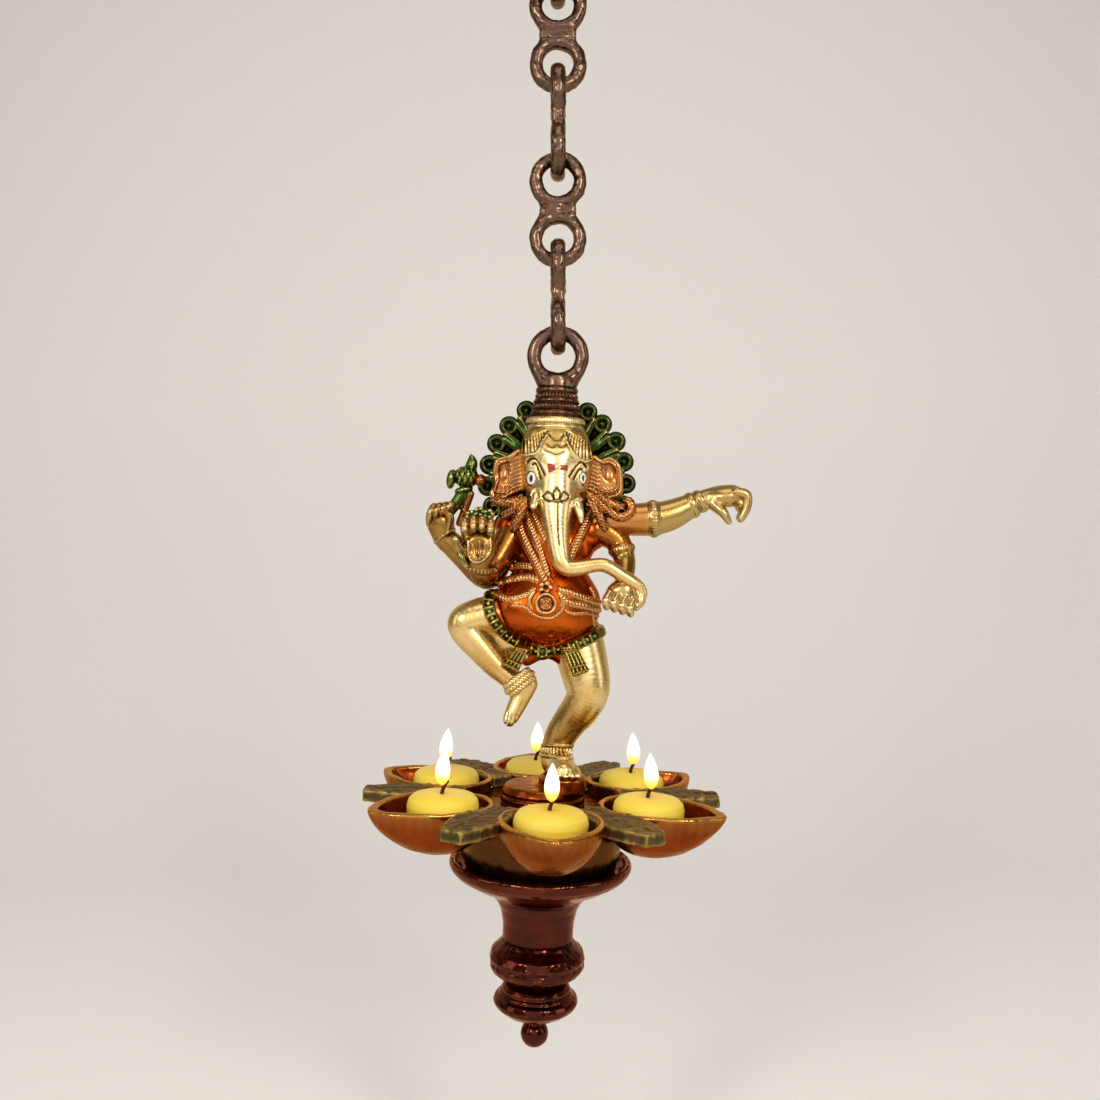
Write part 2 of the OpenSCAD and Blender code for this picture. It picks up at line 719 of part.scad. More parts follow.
// A piece turned about the axis, drilled for the tie rod
module turned(outline) difference() {
    rotate_extrude($fn = 96) polygon(outline);
    rod(slip);
}

module saucer() color("maroon") hang() {
    lip_r = saucer_lip / 4;
    rim_z = saucer_top + saucer_lip - lip_r;
    low = saucer_top - saucer_h;
    turned(concat(
        [[0, saucer_top], [boss_r + 2, saucer_top]],
        arc(saucer_r - lip_r, rim_z, lip_r, 110, -60),
        [for (i = [1 : arc_steps]) let (t = i / arc_steps)
            [saucer_foot_r + (saucer_r - 4 - saucer_foot_r) * (1 - t) * (1 - t), low + (rim_z - 4 - low) * (1 - t)]],
        [[0, low]]
    ));
}

module stem_column() color("maroon") hang()
    turned(concat([[0, column_top]],
        [for (i = [0 : arc_steps]) let (t = i / arc_steps)
            [column_r + (saucer_foot_r - 1 - column_r) * pow(1 - min(1, t * 1.5), 2) + pow(max(0, t * 2 - 1), 3),
                column_top - column_h * t]],
        [[0, knop_top]]
    ));

// The knop: two rounded bulges with a groove between them
module knop() color("maroon") hang()
    turned(concat([[0, knop_top], [column_r + 1, knop_top]],
        smooth([for (p = knop_line) [knop_r * p[1], knop_top - knop_h * p[0]]]),
        [[waist_r, disc_top], [0, disc_top]]
    ));

// The lower disc: a small tier, a grooved disc and a taper down to the ball
module lower_disc() color("maroon") hang()
    turned(concat([[0, disc_top], [waist_r, disc_top]],
        [for (p = tier_line) [disc_r * p[1], disc_top - disc_h * p[0]]],
        smooth([for (p = disc_line) [disc_r * p[1], disc_top - disc_h * p[0]]]),
        [[taper_r, ball_top], [0, ball_top]]
    ));

module ball_finial() color("maroon") hang() difference() {
    translate([0, 0, ball_z]) sphere(ball_r, $fn = 48);
    translate([-far / 2, -far / 2, ball_top]) cube(far);
    rod(slip);
}

module tie_rod() color("silver") hang() rod(0);

module lock_nut() color("silver") hang() translate([0, 0, saucer_top + 1]) difference() {
    cylinder(h = nut_h, r = nut_flats / sqrt(3), $fn = 6);
    translate([0, 0, -1]) cylinder(h = nut_h + 2, r = rod_r + slip, $fn = 48);
}

module candle(i) color("khaki") hang() at_bowl(i) difference() {
    shoulder_z = candle_low + candle_h;
    rotate_extrude($fn = 72) polygon(concat(
        [[0, candle_low], [candle_foot_r, candle_low], [candle_r, shoulder_z - 2]],
        [for (k = [0 : arc_steps]) let (a = 90 * k / arc_steps)
            [candle_r * cos(a), shoulder_z + candle_dome * sin(a)]]));
    wick_shape(slip);
}

module wick_shape(room) translate([0, 0, candle_top - wick_in - room])
    cylinder(h = wick_in + wick_out + 2 * room, r = wick_r + room, $fn = 24);

module wick(i) color("black") hang() at_bowl(i) wick_shape(0);

for (i = [1 : link_count]) chain_link(i);
crown_eye();
head_band();
head();
left_ear();
right_ear();
halo();
torso();
rope_belt();
hip_belt();
raised_arm();
palm_arm();
extended_arm();
lower_arm();
mace();
raised_leg();
standing_leg();
foot_pedestal();
tray_hub();
for (i = [1 : bowl_count]) bowl(i);
for (i = [1 : bowl_count]) leaf(i);
saucer();
stem_column();
knop();
lower_disc();
ball_finial();
tie_rod();
lock_nut();
for (i = [1 : bowl_count]) candle(i);
for (i = [1 : bowl_count]) wick(i);
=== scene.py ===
"""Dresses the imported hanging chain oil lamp: cast and lacquered brass, wax candles and their flames."""
import copy
import itertools
import json
import math

import bpy
import numpy as np
import openvdb
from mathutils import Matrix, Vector


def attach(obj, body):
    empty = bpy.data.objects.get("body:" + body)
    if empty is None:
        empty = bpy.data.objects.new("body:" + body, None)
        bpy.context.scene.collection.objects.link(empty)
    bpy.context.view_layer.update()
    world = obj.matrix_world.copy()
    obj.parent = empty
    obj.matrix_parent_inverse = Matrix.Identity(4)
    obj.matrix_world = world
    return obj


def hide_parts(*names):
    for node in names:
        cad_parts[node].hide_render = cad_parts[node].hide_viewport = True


bl_info = {
    "name": "Hanging chain oil lamp",
    "version": (1, 0, 0),
    "blender": (4, 5, 0),
    "location": "3D View > Sidebar > Lamp",
    "description": "Builds the figure, tray, stem, chain and candles of a hanging lamp on its CAD frame",
    "category": "Add Mesh",
}

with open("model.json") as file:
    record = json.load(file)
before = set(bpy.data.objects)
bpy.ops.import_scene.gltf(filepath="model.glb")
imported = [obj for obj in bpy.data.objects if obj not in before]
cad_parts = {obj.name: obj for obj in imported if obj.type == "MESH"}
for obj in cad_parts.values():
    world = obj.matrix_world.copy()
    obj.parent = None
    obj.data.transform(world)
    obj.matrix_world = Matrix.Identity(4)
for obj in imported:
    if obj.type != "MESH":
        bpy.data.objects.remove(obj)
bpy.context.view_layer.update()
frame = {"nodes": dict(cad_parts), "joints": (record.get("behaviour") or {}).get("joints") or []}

MM = 0.001
EYE_AT = next(j for j in frame["joints"] if j["name"] == "lamp_swing")["pos_m"]
LEAN = math.radians(2.0)  # the lamp hangs two degrees off plumb
EYE_H = 238.2  # crown eye over the bowl rims, mm
SOLE_H = 10.0  # sole of the standing foot over the bowl rims, mm
LINK_PITCH = 48.0  # from one link's middle to the next, mm
LINK_FIRST = -16.0  # middle of the top link, mm
BOWL_PITCH_R = 62.0  # middle of a bowl from the stem's axis, mm
BOWL_FIRST = -86.0  # angle of the first bowl, degrees
BOWLS = 6
BOWL_STEP = 360 / BOWLS  # angle from one bowl to the next, degrees
LINKS = 5
FAR = 30.0  # field value well outside the wax, mm
WEAR_REACH = 3  # cells that wear is judged over
WEAR_FULL = 1.2  # mean distance, in cells, at which an edge is rubbed bare
ROOM = 3.0  # room kept round a shape for its fillet, mm
SKIN_CELLS = 3  # cells on each side of a surface that count as its skin


def linear(code):
    """An sRGB hex colour as linear red, green and blue."""
    parts = [int(code[i:i + 2], 16) / 255 for i in (1, 3, 5)]
    return tuple(c / 12.92 if c < 0.04045 else ((c + 0.055) / 1.055) ** 2.4 for c in parts)


# Wax working

def spline(points, steps=6):
    """Points of a smooth line through the given ones, any number of columns."""
    p = np.asarray(points, float)
    if len(p) < 3:
        return np.array([p[0] + (p[-1] - p[0]) * t for t in np.linspace(0, 1, steps + 1)])
    ends = np.vstack([2 * p[0] - p[1], p, 2 * p[-1] - p[-2]])
    out = []
    for a, b, c, d in zip(ends[:-3], ends[1:-2], ends[2:-1], ends[3:]):
        for t in np.arange(steps) / steps:
            out.append(0.5 * (2 * b + (c - a) * t + (2 * a - 5 * b + 4 * c - d) * t * t
                              + (3 * b - a - 3 * c + d) * t ** 3))
    return np.array(out + [p[-1]])


def soft_min(a, b, soft):
    """The lower of two fields, with a fillet about as wide as soft."""
    if soft <= 0:
        return np.minimum(a, b)
    h = np.maximum(soft - np.abs(a - b), 0) / soft
    return np.minimum(a, b) - h * h * soft / 4


def segment_gap(p, q, a, b):
    """Distance from a flat segment at each place of the plane (a, b)."""
    d = q - p
    t = np.clip(((a - p[0]) * d[0] + (b - p[1]) * d[1]) / (d @ d + 1e-12), 0, 1)
    return np.hypot(a - p[0] - t * d[0], b - p[1] - t * d[1])


def line_distance(points, a, b):
    """Distance from a flat line at each place of the plane (a, b)."""
    points = np.asarray(points, float)
    best = segment_gap(points[0], points[1], a, b)
    for p, q in zip(points[1:-1], points[2:]):
        best = np.minimum(best, segment_gap(p, q, a, b))
    return best


def outline_distance(points, a, b):
    """Signed distance from a closed flat outline, below zero inside."""
    closed = np.asarray([*points, points[0]], float)
    best = line_distance(closed, a, b)
    inside = np.zeros(best.shape, bool)
    for p, q in zip(closed[:-1], closed[1:]):
        if p[1] != q[1]:
            crosses = (b >= min(p[1], q[1])) & (b < max(p[1], q[1]))
            inside ^= crosses & (a < p[0] + (b - p[1]) * (q[0] - p[0]) / (q[1] - p[1]))
    return np.where(inside, -best, best)


def rounded(flat, deep, edge):
    """A slab's distance from those to its outline and its faces, with round edges."""
    flat, deep = flat + edge, deep + edge
    return np.minimum(np.maximum(flat, deep), 0) + np.hypot(np.maximum(flat, 0), np.maximum(deep, 0)) - edge


def between(block, places, smooth=False):
    """Values of a block at places counted in its cells, read between its grid points."""
    whole = np.clip(places.astype(int), 0, np.array(block.shape) - 2)
    part = places - whole
    if smooth:
        part = part * part * (3 - 2 * part)
    total = 0
    for corner in np.ndindex(2, 2, 2):
        share = np.prod([part[:, k] if corner[k] else 1 - part[:, k] for k in range(3)], axis=0)
        total = total + share * block[tuple(whole[:, k] + corner[k] for k in range(3))]
    return total


def blurred(block, reach):
    """The mean of a block over a cube that reaches so many cells each way."""
    for axis in range(3):
        padded = np.pad(block, [(reach + 1, reach) if k == axis else (0, 0) for k in range(3)], "edge")
        total = np.moveaxis(np.cumsum(padded, axis), axis, 0)
        block = np.moveaxis((total[2 * reach + 1:] - total[:-2 * reach - 1]) / (2 * reach + 1), 0, axis)
    return block


def round_angles(count):
    """The angles of places evenly round a ring."""
    return np.arange(count) * 2 * math.pi / count


def ramp(values, start, length):
    """A share that rises from 0 at the start to 1 after a length, which may run backwards."""
    return np.clip((values - start) / length, 0, 1)


def laid(tone, share):
    """A colour laid over the metal, with each point's share of it."""
    return np.column_stack([np.tile(tone, (len(share), 1)), share])


class WaxForm:
    """A wax model for the mould: a block of distances in mm, below zero inside the wax."""

    def __init__(self, low, high, grain):
        self.grain = grain
        self.low = np.floor(np.array(low, float) / grain) * grain
        count = np.ceil((np.array(high) - self.low) / grain).astype(int) + 1
        self.axes = [self.low[i] + grain * np.arange(count[i]) for i in range(3)]
        self.field = np.full(count, FAR, np.float32)

    def patch(self, low, high, within=None):
        """The slices of the block that hold a box, and the places in it as an open grid."""
        cut = []
        for i in range(3):
            least, most = (within[i].start, within[i].stop) if within else (0, len(self.axes[i]))
            first = int(np.clip((low[i] - self.low[i]) / self.grain, least, most))
            last = int(np.clip((high[i] - self.low[i]) / self.grain + 2, first, most))
            cut.append(slice(first, last))
        x, y, z = (self.axes[i][cut[i]].astype(np.float32) for i in range(3))
        return tuple(cut), x[:, None, None], y[None, :, None], z[None, None, :]

    def whole(self):
        """The slices of the whole block, and its places."""
        return self.patch(self.low, [a[-1] for a in self.axes])

    def slab(self, low_z, high_z):
        """The slices of the block between two heights, and the places in them."""
        return self.patch((*self.low[:2], low_z), (*(a[-1] for a in self.axes[:2]), high_z))

    def twin(self):
        """A second block with the same wax in it."""
        other = copy.copy(self)
        other.field = self.field.copy()
        return other

    def merge(self, cut, shape, soft=0.0, carve=False):
        """Adds a shape to the wax, or carves it out."""
        old = self.field[cut]
        self.field[cut] = -soft_min(-old, shape, soft) if carve else soft_min(old, shape, soft)

    def oval(self, at, size, soft=2.0, turn=0.0, carve=False):
        """An egg of wax, turned in the front view."""
        reach = max(size) + soft + ROOM
        cut, x, y, z = self.patch([a - reach for a in at], [a + reach for a in at])
        c, s = math.cos(math.radians(turn)), math.sin(math.radians(turn))
        u = (x - at[0]) * c + (z - at[2]) * s
        w = (z - at[2]) * c - (x - at[0]) * s
        v = y - at[1]
        k0 = np.sqrt((u / size[0]) ** 2 + (v / size[1]) ** 2 + (w / size[2]) ** 2)
        k1 = np.sqrt((u / size[0] ** 2) ** 2 + (v / size[1] ** 2) ** 2 + (w / size[2] ** 2) ** 2)
        self.merge(cut, k0 * (k0 - 1) / np.maximum(k1, 1e-6), soft, carve)

    def limb(self, line, soft=2.0, steps=5, hatch=0.0, rib=0.35):
        """A tapering roll of wax along a smooth line of (x, y, z, radius), ribbed like a cord where asked."""
        p = spline(line, steps)
        edge, run = soft + ROOM, 0.0
        cut, *_ = self.patch((p[:, :3] - p[:, 3:]).min(0) - edge, (p[:, :3] + p[:, 3:]).max(0) + edge)
        shape = np.full(self.field[cut].shape, FAR, np.float32)
        for a, b in zip(p[:-1], p[1:]):
            r = max(a[3], b[3]) + edge
            part, x, y, z = self.patch(np.minimum(a, b)[:3] - r, np.maximum(a, b)[:3] + r, cut)
            inner = tuple(slice(q.start - c.start, q.stop - c.start) for q, c in zip(part, cut))
            d = b[:3] - a[:3]
            t = np.clip(((x - a[0]) * d[0] + (y - a[1]) * d[1] + (z - a[2]) * d[2]) / (d @ d + 1e-9), 0, 1)
            u, v, w = x - a[0] - t * d[0], y - a[1] - t * d[1], z - a[2] - t * d[2]
            girth = a[3] + t * (b[3] - a[3])
            if hatch:
                long = np.linalg.norm(d) + 1e-9
                lean = ((x - a[0]) * d[2] - (z - a[2]) * d[0]) / long
                girth = girth + rib * np.cos(2 * np.pi * (run + t * long + 0.8 * lean) / hatch)
                run += long
            shape[inner] = np.minimum(shape[inner], np.sqrt(u ** 2 + v ** 2 + w ** 2) - girth)
        self.merge(cut, shape, soft)

    def loft(self, rows, soft=2.0, square=2.5, ends=2.0):
        """A body through rows of (z, middle, half width, front, back), with rounded ends."""
        rows = np.array(sorted(rows), float)
        cut, x, y, z = self.slab(rows[0, 0] - 2 * ROOM, rows[-1, 0] + 2 * ROOM)
        fine = spline(rows, 8)
        mid, half, front, back = (np.interp(z, fine[:, 0], fine[:, i]) for i in (1, 2, 3, 4))
        deep, centre = (back - front) / 2, (back + front) / 2
        k = (np.abs((x - mid) / half) ** square + np.abs((y - centre) / deep) ** square) ** (1 / square)
        shape = (k - 1) * np.minimum(half, deep)
        shape = -soft_min(-shape, -(z - rows[-1, 0]), ends)
        self.merge(cut, -soft_min(-shape, -(rows[0, 0] - z), ends), soft)

    def plate(self, outline, low_y, high_y, edge=1.0, soft=0.0, steps=0):
        """A flat piece cut to a front outline, with rounded edges."""
        p = spline(list(outline) + [outline[0]], steps)[:-1] if steps else np.array(outline)
        room = soft + ROOM
        cut, x, y, z = self.patch((p[:, 0].min() - room, low_y - room, p[:, 1].min() - room),
                                  (p[:, 0].max() + room, high_y + room, p[:, 1].max() + room))
        deep = np.abs(y - (low_y + high_y) / 2) - (high_y - low_y) / 2
        self.merge(cut, rounded(outline_distance(p, x, z), deep, edge), soft)

    def turned(self, outline, edge=0.8, soft=0.0, carve=False, at=(0, 0)):
        """A piece turned on an upright axis, from its (radius, height) outline."""
        p = np.array(outline, float)
        room = soft + ROOM
        r = p[:, 0].max() + room
        cut, x, y, z = self.patch((at[0] - r, at[1] - r, p[:, 1].min() - room),
                                  (at[0] + r, at[1] + r, p[:, 1].max() + room))
        shape = outline_distance(p, np.hypot(x - at[0], y - at[1]), z + 0 * x) - edge
        self.merge(cut, shape, soft, carve)

    def swell(self, cut, gap, half, high):
        """Raises the wax in a round-topped ridge where a gap is less than half, or sinks it below zero."""
        self.field[cut] -= ((1 - np.clip(gap / half, 0, 1) ** 2) ** 2 * high).astype(np.float32)

    def trace(self, lines, half, high, behind=0.0, steps=5):
        """Raised (or cut) lines on the front."""
        for line in lines:
            p = spline(np.array(line, float)[:, :2], steps)
            cut, x, _, z = self.patch((p[:, 0].min() - half, self.low[1], p[:, 1].min() - half),
                                      (p[:, 0].max() + half, behind, p[:, 1].max() + half))
            self.swell(cut, line_distance(p, x, z), half, high)

    def dots(self, places, half, high, behind=0.0):
        """Raised (or cut) round dots on the front."""
        for px, pz in places:
            cut, x, _, z = self.patch((px - half, self.low[1], pz - half), (px + half, behind, pz + half))
            self.swell(cut, np.hypot(x - px, z - pz), half, high)

    def collar(self, at, along, radius, half, high, hatch=0):
        """A raised ring round a limb, plain or cut across into reeds."""
        n = np.array(along, float) / np.linalg.norm(along)
        reach = radius + half + ROOM
        cut, x, y, z = self.patch([a - reach for a in at], [a + reach for a in at])
        x, y, z = x - at[0], y - at[1], z - at[2]
        t = x * n[0] + y * n[1] + z * n[2]
        gap = np.sqrt(np.maximum(x * x + y * y + z * z - t * t, 0))
        shape = (1 - np.clip(np.abs(t) / half, 0, 1) ** 4) * high * (gap < reach)
        if hatch:
            a = np.cross(n, (0, 1, 0) if abs(n[1]) < 0.9 else (1, 0, 0))
            a /= np.linalg.norm(a)
            b = np.cross(n, a)
            round_ = np.arctan2(x * a[0] + y * a[1] + z * a[2], x * b[0] + y * b[1] + z * b[2])
            shape = shape * (0.6 + 0.4 * np.cos(round_ * hatch))
        self.field[cut] -= shape.astype(np.float32)

    def grit(self, amount, size, seed):
        """The uneven skin of a sand casting: smooth noise of one size in mm."""
        at = np.nonzero(np.abs(self.field) < SKIN_CELLS * self.grain)
        rng = np.random.default_rng(seed)
        lattice = rng.uniform(-1, 1, [int(n * self.grain / size) + 3 for n in self.field.shape])
        bumps = between(lattice, np.column_stack(at) * self.grain / size, smooth=True)
        self.field[at] += (amount * bumps).astype(np.float32)

    def front(self, places, sink=0.0, back=False):
        """The given (x, z) places as points on the wax's front, sunk by a little, or on its back."""
        out = []
        for x, z in places:
            i = int(round((x - self.low[0]) / self.grain))
            k = int(round((z - self.low[2]) / self.grain))
            i = min(max(i, 0), self.field.shape[0] - 1)
            k = min(max(k, 0), self.field.shape[2] - 1)
            inside = np.nonzero(self.field[i, :, k] < 0)[0]
            out.append((x, self.axes[1][inside[-1 if back else 0]] + sink if len(inside) else np.nan, z))
        out = np.array(out)
        known = ~np.isnan(out[:, 1])
        if not known.any():
            raise RuntimeError("a line of ornament lies off the form that carries it")
        steps = np.arange(len(out))
        out[:, 1] = np.interp(steps, steps[known], out[known, 1])
        return out

    def cast(self, name, place, body, slot, material, nodes, colour=None):
        """Casts the wax: closes its surface as a mesh, set in the frame and riding on its body."""
        edge = SKIN_CELLS * self.grain
        block = np.pad(np.clip(self.field, -edge, edge)[1:-1, 1:-1, 1:-1], 1, constant_values=edge)
        grid = openvdb.FloatGrid()
        grid.background = edge
        grid.copyFromArray(np.ascontiguousarray(block, np.float32))
        points, quads = grid.convertToQuads(isovalue=0.0)
        if not len(points):
            raise RuntimeError(f"{name} came out empty")
        local = self.low + np.asarray(points, float) * self.grain
        hollow = between(blurred(block.astype(np.float32), WEAR_REACH), (local - self.low) / self.grain)
        wear = np.clip(hollow / (WEAR_FULL * self.grain), -1, 1)
        piece = mesh_piece(name, place(local), quads, body, material, nodes)
        layer = piece.data.attributes.new("wear", "FLOAT", "POINT")
        layer.data.foreach_set("value", wear.astype(np.float32))
        if colour is not None:
            shade = piece.data.attributes["paint"]
            shade.data.foreach_set("color", colour(local).astype(np.float32).ravel())
        return piece


def mesh_piece(name, places, faces, body, material, nodes):
    """A mesh object from points in metres, riding on a body in place of its CAD nodes."""
    places, faces = np.asarray(places, float), np.asarray(faces)
    a, b, c = (places[faces[:, i]] for i in range(3))
    volume = np.einsum("ij,ij->", a, np.cross(b, c))
    if faces.shape[1] == 4:
        volume += np.einsum("ij,ij->", a, np.cross(c, places[faces[:, 3]]))
    if volume < 0:
        faces = faces[:, ::-1]
    mesh = bpy.data.meshes.new(name)
    mesh.vertices.add(len(places))
    mesh.vertices.foreach_set("co", places.astype(np.float32).ravel())
    mesh.loops.add(faces.size)
    mesh.loops.foreach_set("vertex_index", faces.astype(np.int32).ravel())
    mesh.polygons.add(len(faces))
    mesh.polygons.foreach_set("loop_start", np.arange(0, faces.size, faces.shape[1], dtype=np.int32))
    mesh.polygons.foreach_set("use_smooth", np.ones(len(faces), bool))
    mesh.update(calc_edges=True)
    mesh.validate()
    mesh.materials.append(material)
    return settle(bpy.data.objects.new(name, mesh), body, nodes)


def settle(piece, body, nodes):
    """Links a finished piece, says what it rides on and hides the CAD nodes it stands for."""
    bpy.context.scene.collection.objects.link(piece)
    if "paint" not in piece.data.attributes:  # bare all over until a colour is laid on
        bare = piece.data.attributes.new("paint", "FLOAT_COLOR", "POINT")
        bare.data.foreach_set("color", np.zeros(4 * len(piece.data.vertices), np.float32))
    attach(piece, body)
    if nodes:
        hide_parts(*nodes)
    return piece


def on_lamp(p):
    """Places in mm, height over the bowl rims, set in the frame with the lamp's lean."""
    p = np.asarray(p, float)
    h = p[:, 2] - EYE_H
    c, s = math.cos(LEAN), math.sin(LEAN)
    return MM * np.column_stack([p[:, 0] * c + h * s, p[:, 1], EYE_AT[2] / MM - p[:, 0] * s + h * c])


def on_sole(p):
    """Places in mm over the sole of the standing foot, set in the frame."""
    return on_lamp(np.asarray(p, float) + (0, 0, SOLE_H))


def on_spoke(angle, out):
    """A placing for a piece made about a point out on a spoke of the tray."""
    c, s = math.cos(math.radians(angle)), math.sin(math.radians(angle))

    def place(p):
        x = p[:, 0] + out
        return on_lamp(np.column_stack([x * c - p[:, 1] * s, x * s + p[:, 1] * c, p[:, 2]]))
    return place


def pour(context, wax, node, slot, finish, tint=None, place=on_sole):
    """Casts one piece of the lamp in place of its CAD node."""
    wax.cast(node + "_cast", place, "lamp", slot, finish_of(context, finish), [node], tint)


def pour_as(context, wax, name, slot, finish, nodes, tint=None):
    """Casts one piece of the figure under a name of its own."""
    wax.cast(name, on_sole, "lamp", slot, finish_of(context, finish), nodes, tint)


# Node trees

def add_node(tree, kind, links=None, **settings):
    """Adds a node with its settings; each link is a value or another node's output."""
    node = tree.nodes.new(kind)
    for key, value in settings.items():
        setattr(node, key, value)
    for key, value in (links or {}).items():
        if isinstance(value, bpy.types.NodeSocket):
            tree.links.new(value, node.inputs[key])
        else:
            node.inputs[key].default_value = value
    return node


def maths(tree, operation, *values, kind="ShaderNodeMath"):
    """What a maths node makes of values or other nodes' outputs."""
    return add_node(tree, kind, dict(enumerate(values)), operation=operation).outputs[0]


def geometry_tree(name, **inputs):
    """A Geometry Nodes tree with named inputs; returns it and its input node's outputs."""
    tree = bpy.data.node_groups.new(name, "GeometryNodeTree")
    for label, kind in {"Geometry": "Geometry", **inputs, "Material": "Material"}.items():
        tree.interface.new_socket(label, in_out="INPUT", socket_type="NodeSocket" + kind)
    tree.interface.new_socket("Geometry", in_out="OUTPUT", socket_type="NodeSocketGeometry")
    return tree, tree.nodes.new("NodeGroupInput").outputs


def close_tree(tree, geometry, material):
    """Ends a tree: smooth shading, real geometry, material."""
    smooth = add_node(tree, "GeometryNodeSetShadeSmooth", {"Geometry": geometry})
    real = add_node(tree, "GeometryNodeRealizeInstances", {"Geometry": smooth.outputs[0]})
    done = add_node(tree, "GeometryNodeSetMaterial", {"Geometry": real.outputs[0], "Material": material})
    add_node(tree, "NodeGroupOutput", {0: done.outputs[0]})
    return tree


def store(tree, geometry, name, value, data_type):
    """Keeps a value on each point under a name."""
    inputs = {"Geometry": geometry, "Name": name, "Value": value}
    kept = add_node(tree, "GeometryNodeStoreNamedAttribute", inputs, data_type=data_type, domain="POINT")
    return kept.outputs[0]


EDGE_ON_WEAR = -0.1  # wear of grown ornament where it is seen edge-on


def wear_by_facing(tree, geometry, way, share):
    """Marks grown ornament as rubbed where it faces the given way and dark where it faces back."""
    normal = add_node(tree, "GeometryNodeInputNormal").outputs[0]
    facing = add_node(tree, "ShaderNodeVectorMath", {0: way, 1: normal}, operation="DOT_PRODUCT")
    amount = maths(tree, "MULTIPLY_ADD", facing.outputs["Value"], share, EDGE_ON_WEAR)
    return store(tree, geometry, "wear", amount, "FLOAT")


ROPE_STEPS = 10.0  # points along each turn of a strand
STRAND_OUT, STRAND_R = 0.46, 0.56  # a strand's way off the axis and its radius, as shares of the rope's


def rope_tree():
    """Twisted strands laid along each path, made once."""
    made = bpy.data.node_groups.get("laid_rope")
    if made:
        return made
    tree, given = geometry_tree("laid_rope", Radius="Float", Lay="Float", Strands="Int")
    vector = "ShaderNodeVectorMath"
    path = add_node(tree, "GeometryNodeMeshToCurve", {"Mesh": given["Geometry"]})
    step = maths(tree, "DIVIDE", given["Lay"], ROPE_STEPS)
    even = add_node(tree, "GeometryNodeResampleCurve", {"Curve": path.outputs[0], "Length": step},
                    mode="LENGTH")
    many = add_node(tree, "GeometryNodeDuplicateElements",
                    {"Geometry": even.outputs[0], "Amount": given["Strands"]}, domain="SPLINE")
    run = add_node(tree, "GeometryNodeSplineParameter").outputs["Length"]
    share = maths(tree, "DIVIDE", many.outputs["Duplicate Index"], given["Strands"])
    turns = maths(tree, "ADD", maths(tree, "DIVIDE", run, given["Lay"]), share)
    angle = maths(tree, "MULTIPLY", turns, 2 * math.pi)
    normal = add_node(tree, "GeometryNodeInputNormal").outputs[0]
    tangent = add_node(tree, "GeometryNodeInputTangent").outputs[0]
    across = maths(tree, "CROSS_PRODUCT", tangent, normal, kind=vector)
    off_axis = maths(tree, "MULTIPLY", given["Radius"], STRAND_OUT)
    parts = []
    for wave, way in (("COSINE", normal), ("SINE", across)):
        amount = maths(tree, "MULTIPLY", maths(tree, wave, angle), off_axis)
        parts.append(add_node(tree, vector, {0: way, "Scale": amount}, operation="SCALE").outputs[0])
    offset = maths(tree, "ADD", *parts, kind=vector)
    outward = maths(tree, "NORMALIZE", offset, kind=vector)
    marked = store(tree, many.outputs[0], "lay_out", outward, "FLOAT_VECTOR")
    twisted = add_node(tree, "GeometryNodeSetPosition", {"Geometry": marked, "Offset": offset})
    strand_r = maths(tree, "MULTIPLY", given["Radius"], STRAND_R)
    ring = add_node(tree, "GeometryNodeCurvePrimitiveCircle", {"Resolution": 8, "Radius": strand_r})
    tube = add_node(tree, "GeometryNodeCurveToMesh",
                    {"Curve": twisted.outputs[0], "Profile Curve": ring.outputs[0], "Fill Caps": True})
    way = add_node(tree, "GeometryNodeInputNamedAttribute", {"Name": "lay_out"}, data_type="FLOAT_VECTOR")
    worn = wear_by_facing(tree, tube.outputs[0], way.outputs[0], share=0.58)
    clean = add_node(tree, "GeometryNodeRemoveAttribute", {"Geometry": worn, "Name": "lay_out"})
    return close_tree(tree, clean.outputs[0], given["Material"])


CURL_EYE = 0.95  # radius of a curl's eye, as a share of its roll's


def curl_tree():
    """Rolled curls with a raised eye, one on each point, facing the front, made once."""
    made = bpy.data.node_groups.get("rolled_curls")
    if made:
        return made
    tree, given = geometry_tree("rolled_curls", Radius="Float", Roll="Float")
    ring = add_node(tree, "GeometryNodeCurvePrimitiveCircle", {"Resolution": 28, "Radius": given["Radius"]})
    roll = add_node(tree, "GeometryNodeCurvePrimitiveCircle", {"Resolution": 12, "Radius": given["Roll"]})
    outer = add_node(tree, "GeometryNodeCurveToMesh",
                     {"Curve": ring.outputs[0], "Profile Curve": roll.outputs[0]})
    eye_r = maths(tree, "MULTIPLY", given["Roll"], CURL_EYE)
    eye = add_node(tree, "GeometryNodeMeshUVSphere", {"Segments": 16, "Rings": 10, "Radius": eye_r})
    back = add_node(tree, "GeometryNodeMeshCylinder",
                    {"Vertices": 28, "Radius": given["Radius"], "Depth": given["Roll"]})
    both = add_node(tree, "GeometryNodeJoinGeometry")
    for part in (outer, eye, back):
        tree.links.new(part.outputs[0], both.inputs[0])
    worn = wear_by_facing(tree, both.outputs[0], (0.0, 0.0, 1.0), share=0.34)
    upright = (math.pi / 2, 0.0, 0.0)
    curls = add_node(tree, "GeometryNodeInstanceOnPoints",
                     {"Points": given["Geometry"], "Instance": worn, "Rotation": upright})
    return close_tree(tree, curls.outputs[0], given["Material"])


